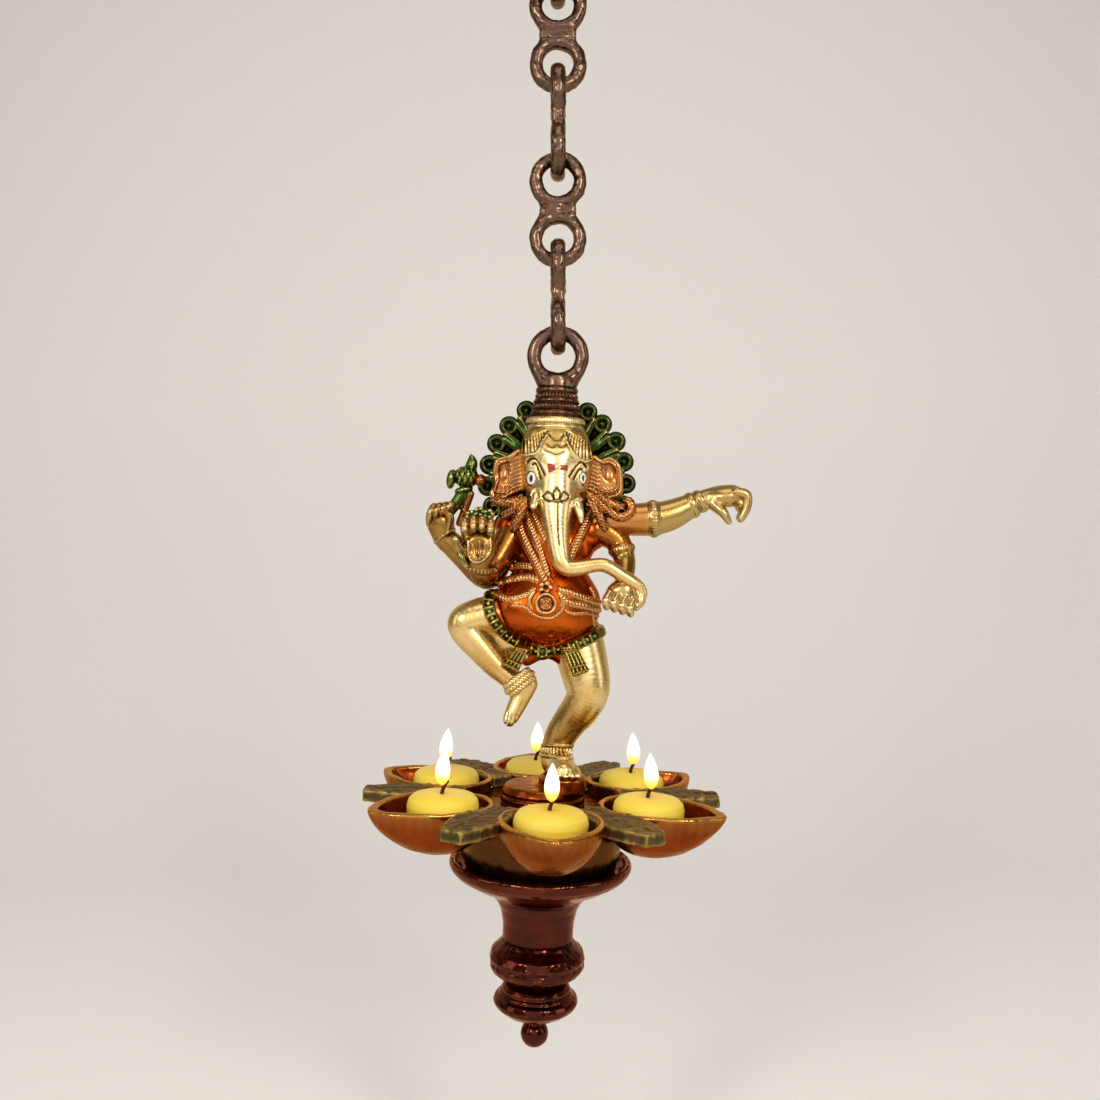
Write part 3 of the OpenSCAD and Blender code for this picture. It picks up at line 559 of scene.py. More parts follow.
def grow(name, tree, paths, values, material, place):
    """Runs a tree on paths (or single points) and keeps the result as a plain mesh object."""
    points, edges = [], []
    for path in paths:
        path = np.atleast_2d(np.asarray(path, float))
        first = len(points)
        points += list(path)
        edges += [(first + i, first + i + 1) for i in range(len(path) - 1)]
    guide_mesh = bpy.data.meshes.new(name + "_guide")
    guide_mesh.from_pydata([tuple(p) for p in place(np.array(points))], edges, [])
    guide = bpy.data.objects.new(name + "_guide", guide_mesh)
    bpy.context.scene.collection.objects.link(guide)
    modifier = guide.modifiers.new("ornament", "NODES")
    modifier.node_group = tree
    sockets = {s.name: s.identifier for s in tree.interface.items_tree if s.in_out == "INPUT"}
    for key, value in values.items():
        modifier[sockets[key]] = value
    modifier[sockets["Material"]] = material
    evaluated = guide.evaluated_get(bpy.context.evaluated_depsgraph_get())
    mesh = bpy.data.meshes.new_from_object(evaluated)
    mesh.name = name
    bpy.data.objects.remove(guide)
    bpy.data.meshes.remove(guide_mesh)
    if not len(mesh.polygons):
        raise RuntimeError(f"{name} has no faces")
    return bpy.data.objects.new(name, mesh)


def shader(name):
    """A new material's tree, its shader, and its object coordinates."""
    material = bpy.data.materials.new(name)
    material.use_nodes = True
    tree = material.node_tree
    surface = next(n for n in tree.nodes if n.type == "BSDF_PRINCIPLED")
    return material, tree, surface, add_node(tree, "ShaderNodeTexCoord").outputs["Object"]


def blend(tree, share, one, two):
    """One colour with a share of another mixed in."""
    return add_node(tree, "ShaderNodeMix", {"Factor": share, 6: one, 7: two}, data_type="RGBA").outputs[2]


def noise(tree, place, size_mm, detail=2.0):
    """Noise with spots of one real size."""
    return add_node(tree, "ShaderNodeTexNoise",
                    {"Vector": place, "Scale": 1000 / size_mm, "Detail": detail}).outputs["Fac"]


def spread(tree, value, low, high, to=(0.0, 1.0), how="LINEAR"):
    """A value's way from low to high, spread over another range."""
    inputs = {"Value": value, "From Min": low, "From Max": high, "To Min": to[0], "To Max": to[1]}
    return add_node(tree, "ShaderNodeMapRange", inputs, interpolation_type=how).outputs[0]


def give(tree, surface, **settings):
    """Sets shader sockets, each to a value or another node's output."""
    for key, value in settings.items():
        socket = surface.inputs[key.replace("_", " ")]
        if isinstance(value, bpy.types.NodeSocket):
            tree.links.new(value, socket)
        else:
            socket.default_value = value


def cast_metal(name, body, shade, pit, worn, rough=0.3, coat=0.0, coat_rough=0.12, metallic=1.0, grit_mm=1.4,
               blotch_mm=14.0, bump=0.12, speck=0.1, pit_at=(-0.14, -0.65), worn_at=(0.15, 0.7),
               painted="tint"):
    """Cast brass under lacquer: blotched body, dark hollows, rubbed high places, fine casting grit."""
    material, tree, surface, place = shader(name)
    blotch, fine = noise(tree, place, blotch_mm, 4.0), noise(tree, place, grit_mm, 3.0)
    wear = add_node(tree, "ShaderNodeAttribute", attribute_name="wear").outputs["Fac"]
    level = maths(tree, "ADD", wear, spread(tree, fine, 0.0, 1.0, (-speck, speck)))
    colour = blend(tree, spread(tree, blotch, 0.35, 0.68), (*body, 1), (*shade, 1))
    for (low, high), tone in ((pit_at, pit), (worn_at, worn)):
        colour = blend(tree, spread(tree, level, low, high, how="SMOOTHSTEP"), colour, (*tone, 1))
    if painted:
        paint = add_node(tree, "ShaderNodeAttribute", attribute_name="paint").outputs
        colour = blend(tree, paint["Alpha"], colour, paint["Color"])
    if painted == "enamel":  # bare metal only where no enamel covers it
        metallic = maths(tree, "SUBTRACT", metallic, maths(tree, "GREATER_THAN", paint["Alpha"], 0.9))
    dull = spread(tree, fine, 0.3, 0.7, (rough - 0.07, rough + 0.09))
    skin = add_node(tree, "ShaderNodeBump", {"Height": fine, "Strength": bump, "Distance": 0.25 * MM})
    edge_tint = (*(0.35 + 0.65 * tone / max(worn) for tone in worn), 1)
    give(tree, surface, Base_Color=colour, Metallic=metallic, Roughness=dull, Normal=skin.outputs[0],
         Specular_Tint=edge_tint, Coat_Weight=coat, Coat_Roughness=coat_rough)
    return material


# Finishes

# Each metal has a body, a shade, its hollows and its rubbed places, as colours of the panel or sRGB codes.
METALS = {
    # sand-cast bronze left dark, rubbed to brass on its edges
    "cast_bronze": ("bronze", "#735747", "#1c130f", "bronze_rubbed",
                    {"rough": 0.27, "grit_mm": 1.6, "bump": 0.3, "worn_at": (0.2, 0.95), "speck": 0.15}),
    # pale polished brass under clear lacquer
    "polished_brass": ("gold", "#dcb86e", "gold_hollow", "#f6e6b4",
                       {"rough": 0.3, "bump": 0.03, "speck": 0.06, "pit_at": (-0.18, -0.7),
                        "worn_at": (0.2, 0.8), "painted": "enamel"}),
    # orange lacquer over brass, dark in the hollows
    "orange_lacquer": ("copper", "#9a3a06", "copper_hollow", "#cf7a2c",
                       {"rough": 0.27, "coat": 0.08, "bump": 0.05, "speck": 0.06, "worn_at": (0.25, 0.9)}),
    # the same lacquer rubbed back towards gold on cords and ears
    "copper_gold": ("#be7c42", "#a0622e", "#4a1c08", "#e4b678",
                    {"rough": 0.27, "coat": 0.08, "bump": 0.05, "speck": 0.08, "pit_at": (-0.1, -0.55),
                     "worn_at": (0.18, 0.75)}),
    # brass gone olive, bright only where hands rub it
    "aged_gold": ("#ad8d4a", "#896a30", "#3f270a", "#e8d7a0",
                  {"rough": 0.27, "coat": 0.06, "bump": 0.05, "speck": 0.08, "pit_at": (-0.12, -0.6)}),
    # dark green lacquer with brass showing on the high places
    "dark_green_lacquer": ("green", "#1a2a0c", "#070b04", "#b7a35c",
                           {"rough": 0.26, "coat": 0.05, "bump": 0.06, "worn_at": (0.12, 0.75)}),
    # satin burnt-orange lacquer of the bowls, golden on the lips
    "burnt_orange_lacquer": ("bowl", "#702b09", "#3a1208", "#d39c4c",
                             {"rough": 0.25, "coat": 0.05, "metallic": 0.95, "blotch_mm": 22, "bump": 0.08,
                              "worn_at": (0.25, 0.9), "speck": 0.15}),
    # rough brown-olive patina, green at the ends
    "olive_patina": ("leaf", "#4a3f20", "#1a120a", "#ab8d4a",
                     {"rough": 0.42, "metallic": 0.7, "grit_mm": 2.0, "bump": 0.3, "worn_at": (0.15, 0.85),
                      "speck": 0.25}),
    # thick glossy red-brown lacquer on rough-cast brass
    "red_brown_lacquer": ("mahogany", "#5a2008", "#160501", "#b87230",
                          {"rough": 0.17, "coat": 0.2, "coat_rough": 0.04, "metallic": 0.95, "grit_mm": 1.8,
                           "bump": 0.08, "worn_at": (0.35, 1.0), "speck": 0.38}),
    # bright drawn rod
    "drawn_steel": ("#9a9a98", "#7f7f7e", "#3c3c3c", "#c8c8c6", {"rough": 0.35, "painted": ""}),
}


def candle_wax(context, tree, surface, place):
    """Yellow candle wax: light sinks in and comes back warm."""
    tone = blend(tree, noise(tree, place, 18.0), (*context.scene.lamp_colours.wax, 1),
                 (*linear("#fde464"), 1))
    give(tree, surface, Base_Color=tone, Roughness=0.45, IOR=1.44, Subsurface_Weight=0.35,
         Subsurface_Scale=1.0, Subsurface_Radius=(4 * MM, 2.5 * MM, 0.8 * MM))


def charred_cotton(context, tree, surface, place):
    """Charred cotton, still red at the end."""
    tone = blend(tree, noise(tree, place, 1.0), (*linear("#260c07"), 1), (*linear("#451810"), 1))
    give(tree, surface, Base_Color=tone, Roughness=0.9)


def flame(context, tree, surface, place):
    """Burning wax vapour: yellow at the root, white above."""
    rise = add_node(tree, "ShaderNodeAttribute", attribute_name="rise")
    tone = add_node(tree, "ShaderNodeValToRGB", {"Fac": rise.outputs["Fac"]})
    stops = tone.color_ramp.elements
    stops[0].color = (*linear("#ff9a10"), 1)
    stops[1].position = 0.5
    stops[1].color = (*linear("#fffdf2"), 1)
    stops.new(0.22).color = (*linear("#ffd866"), 1)
    give(tree, surface, Base_Color=tone.outputs[0], Emission_Color=tone.outputs[0], Emission_Strength=1.2,
         Roughness=1.0, Specular_IOR_Level=0.0)


def paper(context, tree, surface, place):
    """Pale matt studio paper, seen a little brighter than it lights the lamp."""
    tone = blend(tree, noise(tree, place, 3.0), (*linear("#eeeae6"), 1), (*linear("#f3f0ec"), 1))
    ray = add_node(tree, "ShaderNodeLightPath").outputs
    seen = maths(tree, "MAXIMUM", ray["Is Camera Ray"], ray["Is Glossy Ray"])
    seen = maths(tree, "MAXIMUM", seen, ray["Is Transmission Ray"])
    give(tree, surface, Base_Color=tone, Roughness=0.9, Emission_Color=tone,
         Emission_Strength=maths(tree, "MULTIPLY", seen, 0.2))


NON_METALS = {"candle_wax": candle_wax, "charred_cotton": charred_cotton, "flame": flame, "paper": paper}


def finish_of(context, key):
    """Each finish of the lamp, made once and named for what the real surface is."""
    made = bpy.data.materials.get(key)
    if made:
        return made

    def tone_of(tone):
        return linear(tone) if tone.startswith("#") else tuple(getattr(context.scene.lamp_colours, tone))
    if key in METALS:
        *tones, settings = METALS[key]
        return cast_metal(key, *map(tone_of, tones), **settings)
    material, *rest = shader(key)
    NON_METALS[key](context, *rest)
    return material


def colour_prop(label, code, about):
    """A colour of the panel, given as an sRGB code."""
    return bpy.props.FloatVectorProperty(name=label, description=about, subtype="COLOR", size=3, min=0, max=1,
                                         default=linear(code))


class LampColours(bpy.types.PropertyGroup):
    """The lamp's finishes."""
    bronze: colour_prop("Bronze", "#5d493e", "Dark cast bronze of the chain and the crown eye")
    bronze_rubbed: colour_prop("Rubbed bronze", "#b79a6c", "Bronze where the links rub")
    gold: colour_prop("Gold", "#e8cd90", "Polished brass of the head, hands and legs")
    gold_hollow: colour_prop("Gold hollows", "#62400f", "Brass in cut lines and hollows")
    copper: colour_prop("Copper lacquer", "#b24908", "Orange lacquer of the body")
    copper_hollow: colour_prop("Copper hollows", "#3a1206", "Orange lacquer in its hollows")
    green: colour_prop("Green lacquer", "#233612", "Lacquer of the halo, hip belt and mace")
    bowl: colour_prop("Burnt copper", "#8c3a0d", "Lacquer of the bowls and the hub")
    leaf: colour_prop("Leaf patina", "#64482e", "Patina of the leaves between the bowls")
    mahogany: colour_prop("Mahogany lacquer", "#3a1003", "Glossy lacquer of the stem")
    wax: colour_prop("Wax", "#fbd22e", "Candle wax")
    enamel_red: colour_prop("Red enamel", "#9c2630", "Paint of the brow mark")


class LampSizes(bpy.types.PropertyGroup):
    """Sizes that a maker would change."""
    figure_grain: bpy.props.FloatProperty(name="Figure grain", default=0.00045, min=0.0003, unit="LENGTH",
                                          description="Finest detail kept in the figure's wax")
    tray_grain: bpy.props.FloatProperty(name="Tray grain", default=0.00065, min=0.0004, unit="LENGTH",
                                        description="Finest detail kept in the tray, stem and candles")
    chain_grain: bpy.props.FloatProperty(name="Chain grain", default=0.0005, min=0.0003, unit="LENGTH",
                                         description="Finest detail kept in the links")
    flame_height: bpy.props.FloatProperty(name="Flame height", default=0.019, min=0.005, unit="LENGTH",
                                          description="Height of a candle flame")


def wax_block(context, low, high, kind="figure"):
    """A block of wax between two corners in mm, as fine as its kind of piece needs."""
    return WaxForm(low, high, getattr(context.scene.lamp_sizes, kind + "_grain") / MM)


# Chain and crown

LINK_HOLE, LINK_WALL, LINK_THICK, LINK_SPACING = 8.25, 7.5, 8.0, 32.0
BRIDGE_WIDE, BRIDGE_HIGH = 20.0, 9.0
BRIDGE_BACK = 0.6  # the bridge's faces lie this far behind the rings'
CROWN_HOLE, CROWN_WALL, CROWN_THICK = 9.0, 8.0, 8.4
RING_REACH = 30.0  # how far above and below its middle a ring is worked into the wax


def ring_form(wax, at_z, hole, wall, thick, edge=3.6, soft=2.0):
    """A flat cast ring that faces the front."""
    cut, x, y, z = wax.slab(at_z - RING_REACH, at_z + RING_REACH)
    flat = np.abs(np.hypot(x, z - at_z) - hole - wall / 2) - wall / 2
    wax.merge(cut, rounded(flat, np.abs(y) - thick / 2, edge), soft)


def drill(wax, at_z, hole, reach):
    """Cuts a ring's hole clear from front to back."""
    cut, x, _, z = wax.patch((-reach, -14, at_z - reach), (reach, 14, at_z + reach))
    wax.merge(cut, np.hypot(x, z - at_z) - hole, soft=1.2, carve=True)


class LAMP_OT_chain(bpy.types.Operator):
    """Casts the five figure-eight links"""
    bl_idname = "lamp.chain"
    bl_label = "Chain"

    def execute(self, context):
        eyes = (-LINK_SPACING / 2, LINK_SPACING / 2)
        wide, high, thick = BRIDGE_WIDE / 2, BRIDGE_HIGH / 2, LINK_THICK / 2 - BRIDGE_BACK
        for i in range(LINKS):
            wax = wax_block(context, (-19, -7, -36), (19, 7, 36), "chain")
            for at_z in eyes:
                ring_form(wax, at_z, LINK_HOLE, LINK_WALL, LINK_THICK)
            wax.plate([(-wide, -high), (wide, -high), (wide, high), (-wide, high)], -thick, thick, edge=2.0,
                      soft=1.5)
            for at_z in eyes:
                drill(wax, at_z, LINK_HOLE, reach=10)
            wax.trace([[(-9, 2.6), (9, 2.6)], [(-9, -2.6), (9, -2.6)]], half=1.0, high=-0.5)
            for amount, size, seed in ((0.4, 5.5, 20), (0.2, 2.6, 10), (0.14, 1.3, 30)):
                wax.grit(amount, size, seed + i)
            middle = LINK_FIRST - LINK_PITCH * i

            def place(p, edge_on=i % 2 == 0, middle=middle):
                x, y = (p[:, 1], p[:, 0]) if edge_on else (p[:, 0], p[:, 1])
                return MM * np.column_stack([x, y, p[:, 2] + middle])
            wax.cast(f"cast_link_{i + 1}", place, "top_link" if i == 0 else f"link_{i + 1}", "antique_bronze",
                     finish_of(context, "cast_bronze"), [f"chain_link_{i + 1}"])
        return {"FINISHED"}


def neck_tint(p):
    """Red-brown lacquer run up the neck from the head band."""
    return laid(linear("#4a271c"), 0.75 * ramp(p[:, 2], 224, -8))


class LAMP_OT_crown(bpy.types.Operator):
    """Casts the crown eye with its reeded neck, and the gold band under it"""
    bl_idname = "lamp.crown"
    bl_label = "Crown eye and head band"

    def execute(self, context):
        wax = wax_block(context, (-20, -20, 200), (20, 20, 258))
        ring_form(wax, EYE_H, CROWN_HOLE, CROWN_WALL, CROWN_THICK)
        wax.turned([(0, 204.6), (12.8, 204.6), (11.6, 209), (10.6, 214), (9.2, 219), (8.2, 226), (0, 226)],
                   edge=0.6, soft=6)
        wax.plate([(-12, 229), (-7.6, 217), (7.6, 217), (12, 229)], low_y=-3.6, high_y=3.6, edge=2, soft=4)
        for z, r, n in ((206.6, 12.6, 0), (210.2, 12, 40), (213.4, 11.4, 0), (216.2, 11, 36), (219.2, 10, 0)):
            wax.collar((0, 0, z), (0, 0, 1), r, half=1.5, high=1.2, hatch=n)
        drill(wax, EYE_H, CROWN_HOLE, reach=12)
        wax.grit(amount=0.2, size=3.0, seed=50)
        pour(context, wax, "crown_eye", "antique_bronze", "cast_bronze", neck_tint, on_lamp)
        wax = wax_block(context, (-20, -20, 192), (20, 20, 208))
        wax.turned([(0, 197.6), (14.2, 197.6), (15.4, 198.4), (14.6, 199.8), (15.6, 201), (15.2, 203),
                    (13.6, 203.6), (0, 203.6)], edge=0.7)
        wax.collar((0, 0, 201.9), (0, 0, 1), radius=16, half=1.5, high=0.45, hatch=74)
        pour(context, wax, "head_band", "pale_gold", "polished_brass", place=on_lamp)
        return {"FINISHED"}


# Figure

HEAD_ROWS = [(188.5, 0.3, 15.6, -15.6, 10.5), (184, 0.6, 17.6, -17, 10.9), (179, 0.8, 18.9, -17.5, 11),
             (174, 1.2, 19.7, -17.3, 11), (169, 1.6, 19.6, -16.5, 11), (163, 1.8, 19, -15.8, 10.5),
             (157, 1.8, 18, -15.2, 10), (152, 1.8, 16.6, -14.5, 9), (147, 1.8, 14.4, -13, 8),
             (142, 1.8, 11, -10, 6), (138, 1.8, 6, -6, 4)]
TRUNK = [(1.6, -9, 172, 8), (1.8, -11.5, 162, 9.4), (1.7, -12.5, 152, 10.4), (1.8, -14.6, 146, 9.8),
         (2, -17.2, 140, 8.4), (2.9, -20, 131, 6.7), (4.4, -22.4, 121, 5.7), (6, -24, 115.6, 5.1),
         (9.4, -25, 112.6, 4.5), (15, -25.5, 112.9, 4.1), (22, -25.5, 114.5, 3.7),
         (29, -25.5, 114.6, 3.7), (37.5, -25.8, 110, 3.5), (42.5, -26, 107, 3.6), (46.8, -26, 104.3, 3),
         (48.8, -26.3, 101, 2.5), (48.3, -26.8, 97.5, 2.1)]
SHORT_TUSK = [(-8.6, -14, 151.5, 3), (-9.8, -18, 147, 2.3), (-10.3, -19.5, 144.8, 1.9)]
LONG_TUSK = [(12.4, -13.5, 149, 3.1), (13.8, -18, 144.8, 2.6), (15, -20, 140.5, 1.9),
             (15.3, -20.5, 137.5, 1)]
BROWS = [[(-14.6, 168.6), (-12.2, 170.5), (-9.1, 169.4), (-5.1, 161.8)],
         [(-11.8, 167.4), (-9.7, 167.5), (-6.9, 159.6)],
         [(8.4, 161.4), (11.3, 166.4), (14.3, 169.6), (17.4, 167.2)],
         [(10.6, 160.2), (13.2, 165.2), (15, 165.9)]]
LOTUS = [[(1.7, 155), (0.1, 152.2), (0.5, 149.2), (1.9, 148.6), (3.3, 149.3), (3.6, 152.4), (1.7, 155)],
         [(-3, 152.7), (-5.3, 150.2), (-2.8, 147.9), (0.2, 148.3), (-0.6, 151), (-3, 152.7)],
         [(5.9, 153.1), (8.4, 150.7), (6.4, 148.2), (3.9, 148.4), (4.4, 151), (5.9, 153.1)],
         [(0.3, 147.4), (5.2, 147.5)]]
TRUNK_LINE = [[(2.6, 146.6), (2.9, 137.5), (3.4, 129.7), (4.1, 124.9)]]
TUSK_LIPS = [[(-12.4, 150.7), (-11.6, 153.2), (-9.2, 154.5), (-7.3, 152.7), (-6.8, 149)],
             [(10.2, 145.3), (11.3, 148.4), (13.7, 150.1), (16.8, 149.3)]]
LEFT_DRAPE = [(-3.5, 184.7), (-7, 179.6), (-9.3, 173.9), (-13.6, 172.6), (-17.9, 172.4)]
RIGHT_DRAPE = [(5.2, 184.4), (7.3, 178.2), (11.2, 172.8), (15.6, 169.9), (20.8, 171.3)]
HEADDRESS = [[(-3.5, 183.7), (-0.9, 180.7), (0.9, 180.2), (2.8, 180.9), (4.8, 184)],
             [(-5.6, 175), (-1.9, 173.6), (1.1, 172.8), (4.9, 174.2)],
             [(-4.5, 178), (-1.5, 176.4), (0.9, 178), (3.5, 176.6), (6, 178)]]
EYES = [(-12.2, 160.0, 2.4, 3.3), (15.7, 161.1, 1.8, 2.9)]  # place, half width, half height
BROW_MARK = [[(-3.8, 167.8), (-2.7, 162.9), (0.6, 163.9), (0.5, 167.3)],
             [(3.3, 167.1), (7.2, 167.2), (7.3, 164.2), (3.4, 164.3)]]


def drape_cuts():
    """The cut lines that fan across each side of the headdress."""
    cuts = []
    for drape, far in ((LEFT_DRAPE, (-17.6, 184.5)), (RIGHT_DRAPE, (18.6, 184.5))):
        line = spline(drape, 8)
        for t in np.linspace(0.08, 0.95, 9):
            start = line[int(t * (len(line) - 1))]
            end = np.array([drape[0][0] * (1 - t) + far[0] * t, 186 - 4 * t])
            cuts.append([start + 0.12 * (end - start), start + 0.85 * (end - start)])
    return cuts


def head_paint_and_highlight(context):
    """White eyes with dark rims and pupils, the red mark on the brow, dark in the cut lines, darker gold on
    the headdress, and a painted highlight of pale cream over the front of the face and trunk.
    """
    red = tuple(context.scene.lamp_colours.enamel_red)
    dark, white, black = (*linear("#33220c"), 0.85), (*linear("#f2f0ea"), 1), (*linear("#140e0c"), 1)
    cuts = [(line, 0.0) for line in BROWS + LOTUS + TRUNK_LINE]
    cuts += [(line, 0.2) for line in drape_cuts() + HEADDRESS]  # these are thinner

    def colour(p):
        x, y, z = p.T
        ahead = y < -4
        # painted highlight: pale cream over the front of the face and trunk
        out = laid(linear("#f1dfac"), 0.4 * ramp(z, 118, 12) * ramp(z, 176, -6) * ahead)
        out[z > 176] = (*linear("#94701f"), 0.6)
        face = ahead & (z > 120)
        near = np.full(face.sum(), FAR)
        for line, thin in cuts:
            near = np.minimum(near, line_distance(spline(line, 5), x[face], z[face]) + thin)
        share = ramp(near, 0.75, -0.4)[:, None]
        out[face] = share * dark + (1 - share) * out[face]
        for mark in BROW_MARK:
            out[ahead & (outline_distance(mark, x, z) < 0.1)] = (*red, 1)
        for eye_x, eye_z, wide, tall in EYES:
            across, up = (x - eye_x) / wide, (z - eye_z) / tall
            almond = across ** 2 + np.abs(up) ** 1.6
            out[ahead & (almond < 1.45)] = dark
            out[ahead & (almond < 1)] = white
            out[ahead & (np.hypot(across / 0.36, up / 0.6) < 1)] = black
        return out
    return colour


class LAMP_OT_head(bpy.types.Operator):
    """Casts the elephant head with its headdress, trunk and tusks"""
    bl_idname = "lamp.head"
    bl_label = "Head"

    def execute(self, context):
        wax = wax_block(context, (-24, -33, 92), (56, 16, 192))
        wax.loft(HEAD_ROWS)
        wax.limb([(1, 1.5, 150, 11.5), (0, 3, 135, 13)], soft=4)
        wax.limb(TRUNK, soft=5)
        wax.limb(SHORT_TUSK, soft=0.8)
        wax.limb(LONG_TUSK, soft=0.8)
        wax.trace([LEFT_DRAPE, RIGHT_DRAPE], half=1.4, high=1.0)
        wax.trace(drape_cuts(), half=0.8, high=-0.7, steps=1)
        wax.trace(HEADDRESS, half=0.8, high=-0.6)
        wax.trace(BROWS, half=0.9, high=-0.8)
        wax.trace(LOTUS, half=0.7, high=-0.7)
        wax.trace(TRUNK_LINE, half=0.8, high=-0.6, behind=-5)
        wax.trace(TUSK_LIPS, half=1.3, high=1.0)
        wax.dots([(2.4, 165.8)], half=1.3, high=-0.6)  # between the two parts of the brow mark
        for x, z, _, _ in EYES:
            wax.trace([[(x, z - 2.2), (x, z + 2.2)]], half=2.6, high=0.5, steps=1)
        pour(context, wax, "head", "pale_gold", "polished_brass", head_paint_and_highlight(context))
        return {"FINISHED"}


LEFT_EAR = [(-17, 177), (-19.5, 176.5), (-25.2, 172.6), (-31.4, 169.9), (-32.7, 164.1), (-31.9, 157.8),
            (-33.9, 149.6), (-27.5, 148.2), (-19.5, 152.2), (-15, 156)]
RIGHT_EAR = [(19, 175), (21.5, 174.2), (26, 172.2), (30.4, 173.2), (34.9, 170.3), (36.9, 164.7),
             (37.1, 153.9), (31, 150.5), (23.4, 152.3), (18, 156)]


def ear_tint(p):
    """Brown gold over the whole ear, less of it towards the head."""
    return laid(linear("#b98450"), 0.45 * np.maximum(ramp(np.abs(p[:, 0] - 2), 16, 8), 0.3))


class LAMP_OT_ears(bpy.types.Operator):
    """Casts the two fanned ears"""
    bl_idname = "lamp.ears"
    bl_label = "Ears"

    def execute(self, context):
        for name, outline, side in (("left_ear", LEFT_EAR, -1), ("right_ear", RIGHT_EAR, 1)):
            p = np.array(outline)
            (left, _), (right, _) = p.min(0) - ROOM, p.max(0) + ROOM
            wax = wax_block(context, (left, -14, 144), (right, 12, 181))
            wax.plate(outline, low_y=-6, high_y=3, edge=2.2, steps=5)
            rim = spline(p[1:-1], 5)
            mid = p.mean(0)
            wax.trace([rim * 0.92 + mid * 0.08], half=2.0, high=1.8, behind=1)
            wax.oval((mid[0] + side * 2.2, -8.8, mid[1] + 1.8), (4.6, 4.6, 7.8), soft=1.2, turn=side * 8,
                     carve=True)
            wax.trace([rim * 0.72 + mid * 0.28], half=1.1, high=0.9)
            for z in np.arange(154, 173, 2.2):  # combed along the head, and down the lobe
                wax.trace([[(side * 18.6, z), (side * 21.6, z - 1), (side * 24.4, z - 2.4)]], half=0.85,
                          high=0.7)
            for x in np.arange(22.5, 34, 2.2):
                wax.trace([[(side * x, 156.2), (side * (x + 0.8), 151)]], half=0.8, high=0.6, steps=1)
            pour(context, wax, name, "copper_lacquer", "copper_gold", ear_tint)
        return {"FINISHED"}


HALO_AT = (2.0, 162.0)
HALO_R = 38.0
HALO_Y, HALO_HALF = 12.7, 1.8  # middle of the plate's thickness, and half of it
CURL_R, INNER_CURL_R = 5.5, 3.3
INNER_OUT = 0.78  # the inner curls' way out from the middle, as a share of the outer ones'
CURL_RING, CURL_ROLL = 0.7, 0.34  # a curl's ring and its roll, as shares of its radius
CURLS = [(-16.5, 199.4), (-25.9, 190.4), (-32.4, 180.2), (-36.2, 168.4), (-36.8, 156.4), (-33.6, 145.2),
         (-26.6, 136), (17.6, 199.6), (26, 193.2), (34, 183.8), (38.8, 172.6), (40.4, 160.4),
         (38.6, 148.4), (33, 137.4)]


class LAMP_OT_halo(bpy.types.Operator):
    """Casts the ring of curls behind the head"""
    bl_idname = "lamp.halo"
    bl_label = "Halo"

    def execute(self, context):
        wax = wax_block(context, (-46, 4, 118), (50, 20, 210))
        cut, x, y, z = wax.whole()
        gap = np.hypot(x - HALO_AT[0], z - HALO_AT[1])
        deep = np.abs(y - HALO_Y) - HALO_HALF
        wax.merge(cut, np.maximum(gap - HALO_R, deep))
        notch = (z - HALO_AT[1] + 10 + 0.9 * np.abs(x - HALO_AT[0])) / 1.345  # room for the neck
        wax.merge(cut, notch, soft=2, carve=True)
        for (x, z), turn in itertools.product(CURLS, (-7, 7)):  # two locks run out to each curl
            c, s = math.cos(math.radians(turn)), math.sin(math.radians(turn))
            dx, dz = x - HALO_AT[0], z - HALO_AT[1]
            wax.limb([(HALO_AT[0] + f * (dx * c - dz * s), y, HALO_AT[1] + f * (dx * s + dz * c), r)
                      for f, y, r in ((0.48, 11, 3.0), (0.7, 9.6, 3.3), (0.94, 10.6, 2.2))], soft=0.4)
        cut, x, y, z = wax.whole()
        band_room = np.hypot(x, y) - 16.6 + np.where(z > 185.5, 0, 60)  # for the head band, above the head
        wax.merge(cut, band_room, carve=True)
        pour_as(context, wax, "halo_plate_cast", "green_lacquer", "dark_green_lacquer", ["halo"])
        outer = [(x, 10.6, z) for x, z in CURLS]
        middles = np.vstack([spline(side, 2)[1::2] for side in (CURLS[:7], CURLS[7:])])
        inner = [(x, 9.6, z) for x, z in HALO_AT + INNER_OUT * (middles - HALO_AT) if abs(x) > 18]
        for i, (size, ring) in enumerate(((CURL_R, outer), (INNER_CURL_R, inner))):
            settings = {"Radius": size * CURL_RING * MM, "Roll": size * CURL_ROLL * MM}
            piece = grow(f"halo_curls_{i + 1}", curl_tree(), ring, settings,
                         finish_of(context, "dark_green_lacquer"), on_sole)
            settle(piece, "lamp", ["halo"])
        return {"FINISHED"}


RAISED_ARM = [(-20, 0.5, 132, 9.2), (-28, 1.5, 117, 8.2), (-35, 2.2, 106.5, 7.6), (-48, 2.6, 117, 7),
              (-54, 2.7, 122.5, 6.7), (-59, 2.8, 127, 6.5), (-61.5, 2, 135, 6.8)]
PALM_ARM = [(-22, -2, 130, 8.5), (-30, -9, 114, 6.8), (-36, -17, 107, 5.8), (-38.5, -21, 113, 5.6)]
EXTENDED_ARM = [(22, 0, 135, 9.5), (34, -2, 139.5, 9), (44, -3, 140, 8.8), (52, -3, 140.6, 9.2),
                (58, -3, 141.3, 9), (65.5, -3, 143.7, 8.3), (74, -3, 148, 6.9), (80, -3.5, 151.1, 5.8),
                (90, -5, 154.5, 5.6), (97, -6, 155.5, 5.2)]
LOWER_ARM = [(27, -3, 134, 8.5), (36, -5, 128, 6.8), (40, -9, 117, 5.8), (39.5, -16, 109, 5.2),
             (39.5, -22, 103, 5)]
